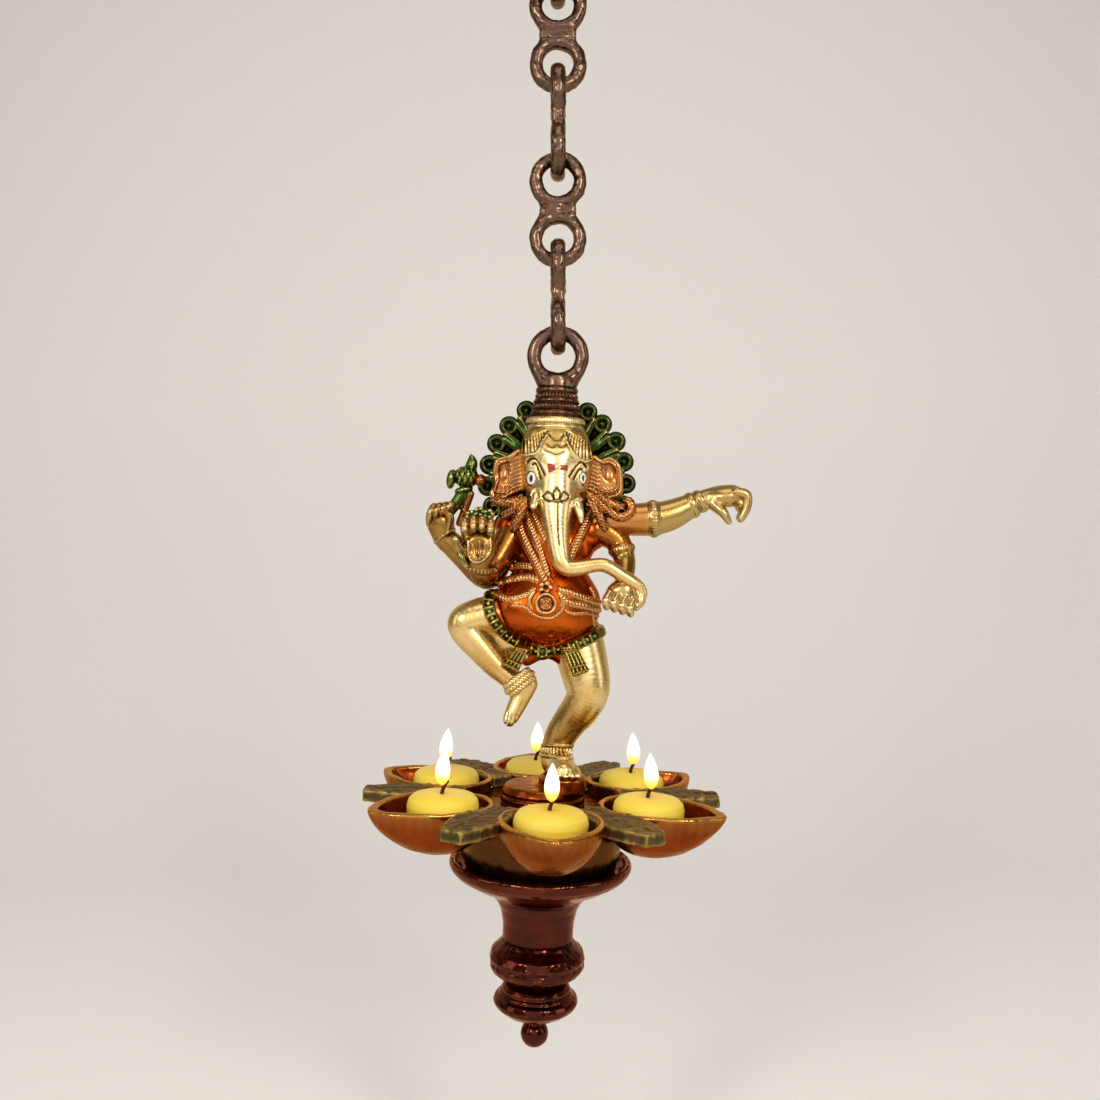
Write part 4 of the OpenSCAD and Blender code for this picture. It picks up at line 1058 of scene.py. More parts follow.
GARLANDS = [[(-18.6, 138.6), (-15.9, 131.3), (-11.9, 122.7), (-7.9, 115.5), (-4.6, 109.4), (-2, 105)],
            [(-14.6, 141.4), (-10.6, 132.9), (-6.6, 123.5), (-3.6, 115.6), (-1, 108)],
            [(-10.2, 142), (-6.4, 134.5), (-3, 126)],
            [(20.9, 142.5), (18, 136.2), (14.6, 128.6), (11.7, 122.3), (8, 114)]]
BELLY_CORDS = [[(-28.4, 102.4), (-19.8, 105.2), (-11.3, 106.7), (-6.3, 105.2)],
               [(-28.7, 97.6), (-21.9, 94.9), (-13.3, 96.9), (-7.3, 100.8)],
               [(-22, 111.4), (-15.6, 112.8), (-9.6, 112.6)],
               [(3.7, 101.2), (11.1, 99.2), (18, 96.6), (26, 94)],
               [(6.3, 97.4), (10, 94.2), (16.3, 92.9), (26, 90.6)]]
MEDAL_CORDS = [[(-20, 92), (-13.1, 91.4), (-9.3, 88.5), (-5.6, 86.6), (-1.5, 85.8), (2.4, 86.6),
                (6.2, 90), (7.4, 94), (5.6, 100.1)],
               [(8, 90), (13, 88.6), (20, 88.8), (26, 87)],
               [(21.1, 102.8), (23.7, 97.9), (22.8, 90.4), (24, 82.5)]]
CORDS = [("garland_cords", GARLANDS, 2.7, 5.6, 1.3), ("belly_cords", BELLY_CORDS, 2.7, 5.6, 1.2),
         ("medallion_cords", MEDAL_CORDS, 1.3, 3.4, 0.3)]  # name, lines, radius, lay, how far sunk in
MEDAL_X, MEDAL_Z = -1.9, 93.7
MEDAL_R, MEDAL_HALF = 5.6, 2.2  # the medallion's radius, and half its thickness
BELT_FRONT = [(-32, 96.6), (-32, 90), (-28, 81.8), (-20.8, 74.2), (-12.8, 69.6), (-8.1, 68), (-3, 67.6),
              (4.4, 68.6), (11.4, 70.6), (19.1, 74), (28.4, 78.5)]
BELT_BACK = [(28.4, 78.5), (24, 79.2), (12, 81), (0, 83), (-14, 86.4), (-25, 91), (-32, 96.6)]
BELT_HALF, BELT_RAIL = 3.3, 2.7  # half the hip belt's width, and its rails' way out from the middle
STRAP_OUT, STRAP_HALF = 0.4, 1.6  # the belt's middle over the skin, and half its thickness
BAR_FIRST, BAR_PITCH, BAR_HALF = 1.5, 4.2, 2.3  # the first bar's place, the bars' spacing, half a bar
SASH_HALF, SASH_EDGE = 1.7, 0.3  # half a sash end's thickness, and how far its edges are rounded out
BUCKLE_X, BUCKLE_Z = -3.0, 67.4
# Each sash end's outline, its depth at the top, and how it falls forward.
SASH_ENDS = [([(-16.2, 70.6), (-9.8, 69.6), (-15.4, 57.8), (-23.2, 61)], -15.5, 0.85),
             ([(7.6, 70.4), (15.2, 70.6), (22, 58.8), (14, 55.8)], -18.2, 0.25)]


def torso_wax(context):
    """The body in wax, without its cords."""
    wax = wax_block(context, (-42, -34, 50), (44, 26, 150))
    wax.limb([(0, 0, 126, 17), (0, -1, 106, 20)], soft=6)
    wax.oval((1, -2, 126), (23, 15, 14), soft=6)
    wax.oval((-10, -8, 122), (10, 8, 9), soft=4)
    wax.oval((12, -8, 122), (10, 8, 9), soft=4)
    wax.limb([(-21, 0, 133, 10), (24, 0, 134, 10)], soft=6, steps=1)
    wax.limb([(1, 3, 145, 12), (0, 2, 135, 14)], soft=5)
    for at, size in (((-0.2, -5, 93), (28.2, 21.5, 21.5)), ((-8, -7.5, 85.5), (16.5, 17, 13.6)),
                     ((9, -7.5, 85.5), (14.5, 17, 13.4)), ((-1, 1, 74), (25, 16, 11)),
                     ((-17, -10.5, 90), (13, 13, 12))):  # belly, hips and the root of the raised thigh
        wax.oval(at, size, soft=6)
    wax.limb([(-11, -8, 62.5, 4), (-3, -8, 67.4, 4.4), (3, -8, 67.2, 4.4), (11, -8, 61.5, 4)], soft=5)
    return wax


def belt_trim():
    """The bars across the hip belt, and the beads between them."""
    line = spline(BELT_FRONT, 14)
    run = np.concatenate([[0], np.cumsum(np.hypot(*np.diff(line, axis=0).T))])
    slope = np.gradient(line, axis=0)
    normal = np.column_stack([-slope[:, 1], slope[:, 0]]) / np.linalg.norm(slope, axis=1)[:, None]
    bars, beads = [], []
    for s in np.arange(BAR_FIRST, run[-1] - 2 * BAR_FIRST, BAR_PITCH):
        k, half_way = np.searchsorted(run, [s, s + BAR_PITCH / 2])
        bars.append([line[k] - BAR_HALF * normal[k], line[k] + BAR_HALF * normal[k]])
        beads.append(line[half_way])
    return bars, beads


def sash_fringe():
    """The lines down and across the sash ends."""
    lines = []
    for corners, _, _ in SASH_ENDS:
        a, b, c, d = np.array(corners)
        lines += [[a + t * (b - a), d + t * (c - d)] for t in (0.12, 0.37, 0.63, 0.88)]
        lines += [[a + t * (d - a), b + t * (c - b)] for t in (0.1, 0.72, 0.95)]
    return lines


def gilt(p):
    """Gold left on the belt's rails, bars and beads, and on the fringe."""
    x, y, z = p.T
    bars, beads = belt_trim()
    near = np.abs(line_distance(spline(BELT_FRONT, 14)[::4], x, z) - 2.9) + 0.2
    for line in sash_fringe() + bars:
        near = np.minimum(near, line_distance(line, x, z) + 0.15)
    for bead_x, bead_z in beads:
        near = np.minimum(near, np.hypot(x - bead_x, z - bead_z) * 0.75 + 0.1)
    return laid(linear("#b39a4c"), 0.85 * ramp(near, 0.9, -0.5) * (y < -1))


class LAMP_OT_torso(bpy.types.Operator):
    """Casts the body with its garlands, cords, medallion and belts"""
    bl_idname = "lamp.torso"
    bl_label = "Torso and belts"

    def execute(self, context):
        wax = torso_wax(context)
        for name, lines, r, lay, sink in CORDS:
            paths = [wax.front(spline(line, 6), sink) for line in lines]
            settings = {"Radius": r * MM, "Lay": lay * MM, "Strands": 3}
            piece = grow(name, rope_tree(), paths, settings, finish_of(context, "copper_gold"), on_sole)
            settle(piece, "lamp", ["rope_belt"])
        for line in (GARLANDS[0], GARLANDS[3]):
            wax.trace([np.array(line) + (side * 2.6, side * 1.1) for side in (-1, 1)], half=0.9, high=0.8,
                      behind=-2)
        wax.dots([(1.4, 77.6)], half=2.2, high=-0.9)  # the navel
        wax.dots([(-16.5, 118)], half=1.6, high=0.8)
        pour(context, wax, "torso", "copper_lacquer", "orange_lacquer", torso_shade_and_highlight)
        self.medallion(context, wax.front([(MEDAL_X, MEDAL_Z)])[0, 1])
        self.hip_belt(context, wax)
        return {"FINISHED"}

    def medallion(self, context, face_y):
        """The round medallion on the belly, with the knot over it and a petal each side."""
        wax = wax_block(context, (-14, -38, 82), (12, -18, 110))
        cut, x, y, z = wax.whole()
        gap = np.hypot(x - MEDAL_X, z - MEDAL_Z)
        wax.merge(cut, np.maximum(gap - MEDAL_R, np.abs(y - face_y) - MEDAL_HALF))
        rim, rings = np.exp(-((gap - 5.0) / 0.7) ** 2), 0.4 * np.cos(gap * 4.4) * (gap < 4)
        wax.field -= (rim + rings).astype(np.float32)
        for a in round_angles(5):
            x, z = -2.3 + 2.6 * math.cos(a), 102.2 + 2.2 * math.sin(a)
            wax.oval((x, face_y + 0.4, z), (1.7, 2.0, 1.6), soft=0.4)
        for side in (-1, 1):
            wax.limb([(MEDAL_X + side * out, face_y + deep, z, r) for out, deep, z, r in
                      ((6.8, 1, 99, 1.2), (8.6, 1.4, 94.5, 1.6), (6.4, 1, 89.6, 1.1))], soft=0.5)
        pour_as(context, wax, "medallion_cast", "copper_lacquer", "copper_gold", [])

    def hip_belt(self, context, torso):
        """The strap round the hips, hugging body and thighs, with its buckle and sash ends."""
        body = torso.twin()
        body.limb(RAISED_LEG[:4], soft=4)
        body.limb(STANDING_LEG[:4], soft=4)
        ahead = body.front(spline(BELT_FRONT, 6))
        loop = np.vstack([ahead, body.front(spline(BELT_BACK, 12), back=True), ahead[:1]])
        wax = wax_block(context, (-42, -34, 50), (44, 26, 150))
        wax.limb([(*point, 0) for point in loop], soft=4, steps=1)
        gap = wax.field.copy()
        ridge = 0.9 * np.exp(-((gap - BELT_RAIL) / 0.55) ** 2)
        wax.field = np.maximum(np.abs(body.field - STRAP_OUT) - STRAP_HALF, gap - BELT_HALF) - ridge
        bars, beads = belt_trim()
        wax.trace(bars, half=0.75, high=0.9, behind=-1, steps=1)
        wax.dots(beads, half=1.5, high=1.0, behind=-1)
        cut, x, y, z = wax.whole()
        for corners, y_top, fall in SASH_ENDS:
            deep = np.abs(y - y_top + fall * np.maximum(corners[0][1] - z, 0)) - SASH_HALF
            wax.merge(cut, np.maximum(outline_distance(corners, x, z), deep) - SASH_EDGE, soft=0.5)
        wax.trace(sash_fringe(), half=0.85, high=0.9, behind=-8, steps=1)
        buckle_y = ahead[np.argmin(np.abs(ahead[:, 0] - BUCKLE_X)), 1] - 1.5
        wax.oval((BUCKLE_X, buckle_y, BUCKLE_Z), (5.4, 2.8, 4.8), soft=0.5)
        for a in round_angles(8):
            wax.dots([(BUCKLE_X + 3.2 * math.cos(a), BUCKLE_Z + 2.8 * math.sin(a))], half=1.2, high=0.9)
        wax.dots([(BUCKLE_X, BUCKLE_Z)], half=1.2, high=0.9)
        pour(context, wax, "hip_belt", "green_lacquer", "dark_green_lacquer", gilt)


def hip_tint(context):
    """The body's lacquer carried over the thighs as far as the hip belt."""
    copper = tuple(context.scene.lamp_colours.copper)

    def colour(p):
        over = outline_distance(BELT_FRONT + [(30, 110), (-34, 110)], p[:, 0], p[:, 2])
        return laid(copper, 0.88 * np.clip(-over, 0, 1))
    return colour


def hip_lacquer_and_shin_shade(context):
    """The standing leg: lacquer at the hip, and painted shade below the knee that browns the brass, more on
    the side towards the middle.
    """
    def colour(p):
        # painted shade below the knee
        shin = ramp(p[:, 2], 46, -14) * ramp(p[:, 0], 26, -12) * (p[:, 2] > 15)
        return np.where((shin > 0)[:, None], laid(linear("#98651d"), 0.5 * shin), hip_tint(context)(p))
    return colour


def calf_tint(context):
    """The raised leg: lacquer at the hip, and a warm orange-brown laid down the shin."""
    def colour(p):
        hip = hip_tint(context)(p)
        calf = 0.4 * ramp(p[:, 2], 76, -16) * ramp(p[:, 2], 44, 8) * (p[:, 0] < -12)
        return np.where((calf > hip[:, 3])[:, None], laid(linear("#b5782f"), calf), hip)
    return colour


def torso_shade_and_highlight(p):
    """Painted shade of dark lacquer on the chest, and a painted golden highlight on the middle of the belly.
    """
    # painted shade on the chest
    chest = np.clip(0.85 * np.exp(-((p[:, 2] - 122) / 16) ** 2 - ((p[:, 0] + 14) / 9) ** 2), 0, 0.9)
    # painted highlight on the belly
    belly = 0.55 * np.exp(-((p[:, 2] - 83) / 11) ** 2 - ((p[:, 0] - 2) / 16) ** 2)
    tone = np.where((belly > chest)[:, None], linear("#c9660f"), linear("#571d08"))
    return np.column_stack([tone, np.maximum(chest, belly)])


STRANDS = [[(-17.2, -13, 148.6), (-24, -12, 146.5), (-31.6, -8, 147.5)],
           [(-16, -14, 148), (-19, -13.5, 144.8), (-25.1, -11, 140.2)],
           [(-14.7, -14, 146.8), (-17.5, -14.5, 140), (-20.5, -12, 133.5)],
           [(20, -12, 152), (22.7, -13, 149.6), (29.2, -13.5, 144.6), (35.6, -13, 141),
            (40.5, -12, 142.4), (42.4, -11, 146.5), (40.4, -10, 150)],
           [(20.2, -14, 147.8), (24.7, -14, 141.8), (28.3, -12, 135.1)],
           [(24, -12, 151.5), (30.5, -12.5, 148.2), (36.5, -12, 146.2)]]
PALM_LINES = [[(-41.5, 123), (-39.5, 117)], [(-38, 125), (-37, 117)], [(-35, 124), (-35.5, 118)]]


class LAMP_OT_arms(bpy.types.Operator):
    """Casts the four arms with their bands, hands and strands"""
    bl_idname = "lamp.arms"
    bl_label = "Arms"

    def execute(self, context):
        self.raised(context)
        self.palm(context)
        self.flower(context)
        self.extended(context)
        self.lower(context)
        self.strands(context)
        return {"FINISHED"}

    def raised(self, context):
        """The arm that holds the mace, its fingers closed round the grip."""
        wax = wax_block(context, (-74, -14, 92), (-8, 16, 152))
        wax.limb(RAISED_ARM, soft=3)
        wax.oval((-61.5, 0, 135), (7, 6.5, 8.5), soft=3, turn=15)
        for k in range(4):
            x = -67 + 3.3 * k
            wax.limb([(x, -3 + 0.3 * k, 134 + 2 * k, 2.1), (x + 0.4, -7, 138.5 + 1.4 * k, 2.1),
                      (x + 2, -6, 143 + 0.6 * k, 2), (x + 3, -2, 143.5 + 0.4 * k, 1.9)], soft=0.6)
        wax.limb([(-57, -4, 131, 2.5), (-55.5, -6, 137, 2.3), (-57.5, -7, 141, 1.9)], soft=0.8)
        wax.collar((-60, 3, 126.8), (-0.7, 0, 1), radius=7, half=0.8, high=0.6)
        pour(context, wax, "raised_arm", "pale_gold", "aged_gold", arm_tone_and_elbow_shade)

    def palm(self, context):
        """The arm with its palm held up, cut with lines, and its fingers bent forward."""
        wax = wax_block(context, (-58, -34, 98), (-12, 12, 150))
        wax.limb(PALM_ARM, soft=3)
        wax.oval((-38.5, -22, 121), (9.5, 5, 10.5), soft=3)
        wax.oval((-38.5, -28.5, 121.5), (5.5, 3.4, 6), soft=1, carve=True)
        for k, top in enumerate((137, 138.5, 138.5, 137)):
            x = -46 + 4.5 * k
            wax.limb([(x * 0.9 - 3.8, -21.5, 127, 2.6), (x, -23, top - 4.4, 2.6),
                      (x + 0.2, -27.4, top - 1.8, 2.4), (x + 0.3, -29.6, top - 5.6, 2)], soft=0.7)
        wax.limb([(-45, -23, 117, 2.8), (-49, -25, 121.5, 2.6), (-50.5, -26, 125.5, 2.2)], soft=1)
        heel = [(-44, 125.6), (-43.2, 116.5), (-37.7, 114), (-32, 119.6), (-32.3, 127.6)]
        wax.trace([heel], half=1.1, high=0.9, behind=-18)
        wax.trace(PALM_LINES, half=0.8, high=0.6, behind=-18, steps=2)
        wax.collar((-38, -20, 110.6), (0.1, -0.3, 1), radius=7, half=1.6, high=1.0, hatch=18)
        pour(context, wax, "palm_arm", "copper_lacquer", "aged_gold", arm_tone_and_elbow_shade)

    def flower(self, context):
        """The green flower over the palm's fingers and the leaf beside it."""
        wax = wax_block(context, (-54, -34, 110), (-26, -16, 150))
        for x, z in ((-43, 138.6), (-38.4, 140.6), (-33.6, 139.6)):
            wax.oval((x, -24, z), (3.2, 3, 2.8), soft=0.6)
            for a in round_angles(5):
                wax.oval((x + 2 * math.cos(a), -26, z + 1.7 * math.sin(a)), (1.3, 1.2, 1.3), soft=0.3)
        wax.limb([(-48.5, -25, 121, 1.6), (-47, -26, 116, 2.2), (-44.5, -26, 112, 1.2)], soft=0.5)
        pour_as(context, wax, "palm_flower", "green_lacquer", "dark_green_lacquer", [])

    def extended(self, context):
        """The arm stretched out to the side, with its armlet and two bangles."""
        wax = wax_block(context, (10, -24, 122), (114, 14, 168))
        wax.limb(EXTENDED_ARM, soft=3)
        wax.oval((95, -6.5, 154), (10.5, 6.8, 5.6), soft=2, turn=8)
        for k in range(4):
            y = -1.5 - 3.3 * k
            wax.limb([(98 + 0.3 * k, y, 156.6, 2.8), (103.6 + 0.2 * k, y - 0.3, 155, 2.7),
                      (104.4, y - 0.5, 148.6, 2.5),
                      (102.6 - 0.3 * k, y - 0.6, 142.9 if k == 0 else 142.4, 2.1)], soft=0.6)
        wax.oval((101.4, -6.5, 150.5), (2.6, 5.8, 4.6), soft=1)
        wax.limb([(87, -8, 150, 3.6), (91.5, -11.5, 145.6, 2.8), (95, -12.5, 140.4, 1.7)], soft=1.5)
        for half, high, reeds in ((3.4, 0.7, 0), (1.8, 0.6, 34)):
            wax.collar((55.3, -3, 141), (1, 0, 0.1), radius=11, half=half, high=high, hatch=reeds)
        for off in (-2.2, 1.8):
            wax.collar((78.6 + off, -3.3, 150.4 + off * 0.5), (1, 0, 0.5), radius=8, half=1.8, high=0.8)
        pour(context, wax, "extended_arm", "pale_gold", "polished_brass", arm_tint)

    def lower(self, context):
        """The arm that hangs to the trunk's end, with its armlet."""
        wax = wax_block(context, (14, -36, 82), (56, 10, 146))
        wax.limb(LOWER_ARM, soft=3)
        wax.oval((38.5, -23, 99.5), (9, 5.5, 8), soft=2.5)
        for k in range(4):
            x = 29.5 + 4.2 * k
            wax.limb([(x + 2, -27, 100 - 1.2 * k, 2.4), (x, -30, 96.5 - 1.2 * k, 2.3),
                      (x + 0.5, -29, 93.3 - 1.1 * k, 2)], soft=0.7)
        wax.limb([(46, -25, 103, 2.8), (48, -27, 97, 2.4), (45.5, -28, 93.5, 2)], soft=0.8)
        for half, high, reeds in ((2.8, 0.7, 0), (1.5, 0.5, 26)):
            wax.collar((38.5, -6.5, 123.2), (0.3, -0.2, -1), radius=10, half=half, high=high, hatch=reeds)
        pour(context, wax, "lower_arm", "copper_lacquer", "aged_gold", lower_tint)

    def strands(self, context):
        """The hatched strands that fall from the ears over the shoulders."""
        wax = wax_block(context, (-38, -24, 126), (50, 4, 160))
        for line in STRANDS:
            wax.limb([(*point, 2.5) for point in line], soft=0.3, hatch=2.0, rib=0.4)
        pour_as(context, wax, "ear_strands", "copper_lacquer", "copper_gold", [], strand_tint)


def strand_tint(p):
    """Brown lacquer left on the strands beside the ears."""
    return np.tile((*linear("#7c421a"), 0.45), (len(p), 1))


def arm_tone_and_elbow_shade(p):
    """The arms of one side: brown over hands and forearms, painted shade darkening it at the elbows, copper
    at the shoulders.
    """
    # painted shade, darkest at the elbows
    elbow = ramp(p[:, 2], 118, -14)[:, None]
    out = elbow * (*linear("#642c0a"), 0.7) + (1 - elbow) * (*linear("#90551d"), 0.4)
    shoulder = (ramp(p[:, 0], -36, 7) * ramp(p[:, 1], -20, 6))[:, None]
    return shoulder * (*linear("#a85c22"), 0.75) + (1 - shoulder) * out


def lower_tint(p):
    """The lower arm: copper at the shoulder, brass rubbed pale on the hand."""
    shoulder, hand = ramp(p[:, 2], 122, 7), ramp(p[:, 2], 110, -6)
    tone = np.where((shoulder > 0)[:, None], linear("#a85c22"), linear("#e0bb84"))
    return np.column_stack([tone, np.maximum(0.75 * shoulder, 0.45 * hand)])


def arm_tint(p):
    """Copper lacquer from the shoulder to the armlet, dull olive brass beyond it."""
    near = ramp(p[:, 0], 53, -4)[:, None]
    return near * (*linear("#b4682a"), 0.8) + (1 - near) * (*linear("#94743f"), 0.6)


def mace_tint(p):
    """Fresh green on the head and the grip, copper on the knob and the rod beside the grip."""
    out = np.tile((*linear("#5f7d36"), 0.5), (len(p), 1))
    knob = (p[:, 0] > -43.5) & (p[:, 2] > 154) & (p[:, 2] < 163)
    rod = (p[:, 2] < 151) & (p[:, 0] > -47.3 - 0.45 * (150 - p[:, 2]))
    out[knob | rod] = (*linear("#96521f"), 0.8)
    return out


class LAMP_OT_mace(bpy.types.Operator):
    """Casts the green mace held in the raised hand"""
    bl_idname = "lamp.mace"
    bl_label = "Mace"

    def execute(self, context):
        wax = wax_block(context, (-66, -10, 128), (-32, 12, 178))
        wax.oval((-48.2, 0, 160.4), (6.9, 6.6, 6.2), soft=0.6)
        wax.limb([(-45.8, 0, 165.4, 3.4), (-45.2, 0, 168.2, 3), (-45.4, 0, 170.6, 1.9),
                  (-45.8, 0, 172.4, 0.8)], soft=0.4)
        wax.oval((-56.2, -0.5, 159), (2.7, 4.4, 5.6), soft=0.4, turn=-8)
        wax.oval((-40.5, -1, 158.6), (3.8, 4, 3.6), soft=0.5)
        wax.oval((-49.2, 0, 153.2), (5.2, 5, 2.3), soft=0.3, turn=14)
        wax.limb([(-49.6, 0, 151, 3.6), (-53, 0, 146, 3.3), (-57, 0, 140, 2.9), (-59, 0, 136, 2.6)], soft=0.6)
        wax.limb([(-45.4, -0.5, 151, 2.1), (-48, 0, 143, 2.1), (-51, 0.5, 135, 2)], soft=0.4)
        wax.collar((-54, 0, 144.6), (-0.5, 0, -1), radius=4.4, half=0.9, high=0.7)
        lattice = [[(-54.5 + 3.4 * k, 155), (-50 + 3.4 * k, 166)] for k in range(4)]
        lattice += [[(-42 - 3.4 * k, 155), (-46.5 - 3.4 * k, 166)] for k in range(4)]
        wax.trace(lattice, half=0.75, high=-0.7, steps=1)
        pour(context, wax, "mace", "green_lacquer", "dark_green_lacquer", mace_tint)
        return {"FINISHED"}


RAISED_LEG = [(-14, -4, 83, 13), (-30, -10, 85.5, 11), (-44, -14, 82.5, 9.3), (-43.5, -14, 77, 9),
              (-36, -15, 68.5, 8), (-27, -16, 59, 6.8), (-19, -17, 52.5, 5.8), (-14, -18, 50, 5.4)]
STANDING_LEG = [(14, -1, 76, 15), (18, -4, 66, 14), (21.5, -7, 53, 12.8), (22.6, -8, 45.5, 11.2),
                (19.5, -6.5, 37.5, 10.6), (14, -4, 29.5, 9.4), (9, -2, 21, 8.6), (6.6, 0, 13.5, 8),
                (6.4, 1, 6, 7.6)]


class LAMP_OT_legs(bpy.types.Operator):
    """Casts the raised and the standing leg with their anklets"""
    bl_idname = "lamp.legs"
    bl_label = "Legs"

    def execute(self, context):
        self.raised(context)
        self.anklet(context)
        self.standing(context)
        return {"FINISHED"}

    def raised(self, context):
        """The leg bent in front of the body, its toes cut apart."""
        wax = wax_block(context, (-58, -34, 22), (6, 14, 102))
        wax.limb(RAISED_LEG, soft=3)
        wax.limb([(-30, -10, 77, 6), (-21, -9, 70, 6), (-13, -8, 65, 5)], soft=4)
        wax.limb([(-10.5, -18, 50, 5.8), (-14, -19, 42, 5.2), (-17.4, -21, 34.5, 4.4),
                  (-18.8, -22, 31.4, 3.7)], soft=2.5)
        toes = [[(-19.8 + 2.1 * k, 35.5 - 0.7 * k), (-21 + 2.3 * k, 28.5)] for k in range(3)]
        wax.trace(toes, half=0.6, high=-0.6, behind=-20, steps=1)
        pour(context, wax, "raised_leg", "pale_gold", "polished_brass", calf_tint(context))

    def anklet(self, context):
        """Three turns of rope round the raised ankle."""
        ankle, axis = np.array((-14.4, -18, 50.8)), np.array((-0.62, 0.1, 0.78))
        a = np.cross(axis, (0, 1, 0))
        a /= np.linalg.norm(a)
        b = np.cross(axis, a)
        angles, turns = np.linspace(0, 2 * math.pi, 41), []
        for off, r in ((2.6, 7.2), (0, 8.0), (-2.6, 7.0)):
            mid = ankle + axis * off
            turns.append([mid + r * (math.cos(t) * a + math.sin(t) * b) for t in angles])
        settings = {"Radius": 1.9 * MM, "Lay": 5.4 * MM, "Strands": 3}
        brass = finish_of(context, "polished_brass")
        settle(grow("raised_anklet", rope_tree(), turns, settings, brass, on_sole), "lamp", [])

    def standing(self, context):
        """The leg that stands on the pedestal, with its toes and reeded anklet."""
        wax = wax_block(context, (-10, -34, -2), (40, 20, 96))
        wax.limb(STANDING_LEG, soft=3)
        wax.limb([(7, 2, 5, 7.5), (9.5, -8, 5, 7.5), (10.8, -16, 3.5, 6)], soft=3)
        for k, x in enumerate((4.5, 8, 11.5, 15, 18)):
            short = abs(k - 2)
            wax.limb([(x - 0.6, -14, 3.6, 2.3), (x, -19 + 0.8 * short, 2.8, 2.1),
                      (x + 0.2, -21.5 + 0.9 * short, 2.2, 1.7)], soft=0.6)
        cut, _, _, z = wax.whole()
        wax.merge(cut, z, soft=0.5, carve=True)  # a flat sole
        for z, half, high, reeds in ((14.6, 0.9, 0.8, 0), (11.8, 2.0, 1.1, 30), (9, 0.9, 0.9, 0)):
            wax.collar((7, -0.5, z), (0, 0.15, 1), radius=13, half=half, high=high, hatch=reeds)
        pour(context, wax, "standing_leg", "pale_gold", "polished_brass", hip_lacquer_and_shin_shade(context))


# Tray and stem

class LAMP_OT_pedestal(bpy.types.Operator):
    """Casts the low round pedestal under the standing foot"""
    bl_idname = "lamp.pedestal"
    bl_label = "Foot pedestal"

    def execute(self, context):
        wax = wax_block(context, (-28, -28, -8), (28, 28, 12), "tray")
        wax.turned([(0, -6.2), (22.2, -6.2), (22.2, -3.4), (21, -2.2), (21.6, -0.6), (20, 2.4), (0, 3.2)],
                   edge=0.8)
        wax.turned([(0, 2), (12.2, 2), (12.2, 8.4), (11.4, 9.2), (0, 9.2)], edge=0.8, soft=2.5, at=(10.5, -6))
        wax.grit(amount=0.1, size=3, seed=60)
        pour(context, wax, "foot_pedestal", "copper_lacquer", "burnt_orange_lacquer", place=on_lamp)
        return {"FINISHED"}


BOWL_HALF_W, BOWL_TIP = 26.5, 42.5  # a bowl's half width and its middle to its tip, mm
BOWL_IN_HALF_W, BOWL_IN_TIP = 23.5, 36.5  # the same of its hollow
BOWL_GAP = 0.1  # play between a bowl and the hub
HUB = [(0, -7.6), (44.6, -7.6), (45.4, -9), (45.4, -19.6), (40.4, -42.4), (0, -42.4)]
NUT_BORE = [(0, -46), (6.9, -46), (6.9, -36), (3.3, -35.6), (3.3, 0), (0, 0)]  # for the nut and the rod
ROD_BORE = [(0, -124), (3.2, -124), (3.2, 0), (0, 0)]  # through the stem


def spindle(p, q, h, half_w, tip):
    """Distance to a teardrop turned about its long axis, p along it."""
    share = np.clip(1 - np.clip(p / tip, 0, 1) ** 2, 0, 1)
    girth = half_w * share ** 0.75
    slope = np.where(p > 0, 1.5 * half_w * np.clip(p, 0, tip) / tip ** 2 / np.maximum(share, 0.02) ** 0.25, 0)
    ahead = (np.hypot(q, h) - girth) / np.sqrt(1 + np.minimum(slope, 3) ** 2)
    behind = np.sqrt(p * p + q * q + h * h) - half_w
    return np.where(p > 0, np.maximum(ahead, p - tip), behind)


class LAMP_OT_tray(bpy.types.Operator):
    """Casts the hub and the six teardrop bowls"""
    bl_idname = "lamp.tray"
    bl_label = "Bowls and hub"

    def execute(self, context):
        for i in range(BOWLS):
            wax = wax_block(context, (-29, -29, -29), (45, 29, 3), "tray")
            cut, x, y, z = wax.whole()
            wax.merge(cut, spindle(x, y, z, BOWL_HALF_W, BOWL_TIP))
            wax.merge(cut, spindle(x, y, z, BOWL_IN_HALF_W, BOWL_IN_TIP), soft=1.2, carve=True)
            wax.merge(cut, -z, soft=1.2, carve=True)
            wax.grit(amount=0.22, size=7, seed=70 + i)
            wax.grit(amount=0.07, size=2.2, seed=80 + i)
            spoke = on_spoke(BOWL_FIRST + BOWL_STEP * i, BOWL_PITCH_R)
            pour(context, wax, f"bowl_{i + 1}", "burnt_copper", "burnt_orange_lacquer", bowl_wear_highlight_and_shade, spoke)
        hub = wax_block(context, (-48, -48, -45), (48, 48, -4), "tray")
        hub.turned(HUB, edge=0.5)
        cut, x, y, z = hub.whole()
        for i in range(BOWLS):
            a = math.radians(BOWL_FIRST + BOWL_STEP * i)
            along = x * math.cos(a) + y * math.sin(a) - BOWL_PITCH_R
            across = y * math.cos(a) - x * math.sin(a)
            hub.merge(cut, spindle(along, across, z, BOWL_HALF_W + BOWL_GAP, BOWL_TIP + BOWL_GAP), carve=True)
        hub.turned(NUT_BORE, edge=0, carve=True)
        hub.grit(amount=0.2, size=4, seed=69)
        pour(context, hub, "tray_hub", "burnt_copper", "burnt_orange_lacquer", hub_lacquer_and_shade, on_lamp)
        return {"FINISHED"}


def hub_lacquer_and_shade(p):
    """Olive-brown lacquer over the hub, deepened as painted shade under the bowls and darkest below."""
    return laid(linear("#432c12"), np.clip(0.55 + (-10 - p[:, 2]) / 40, 0.5, 0.85))


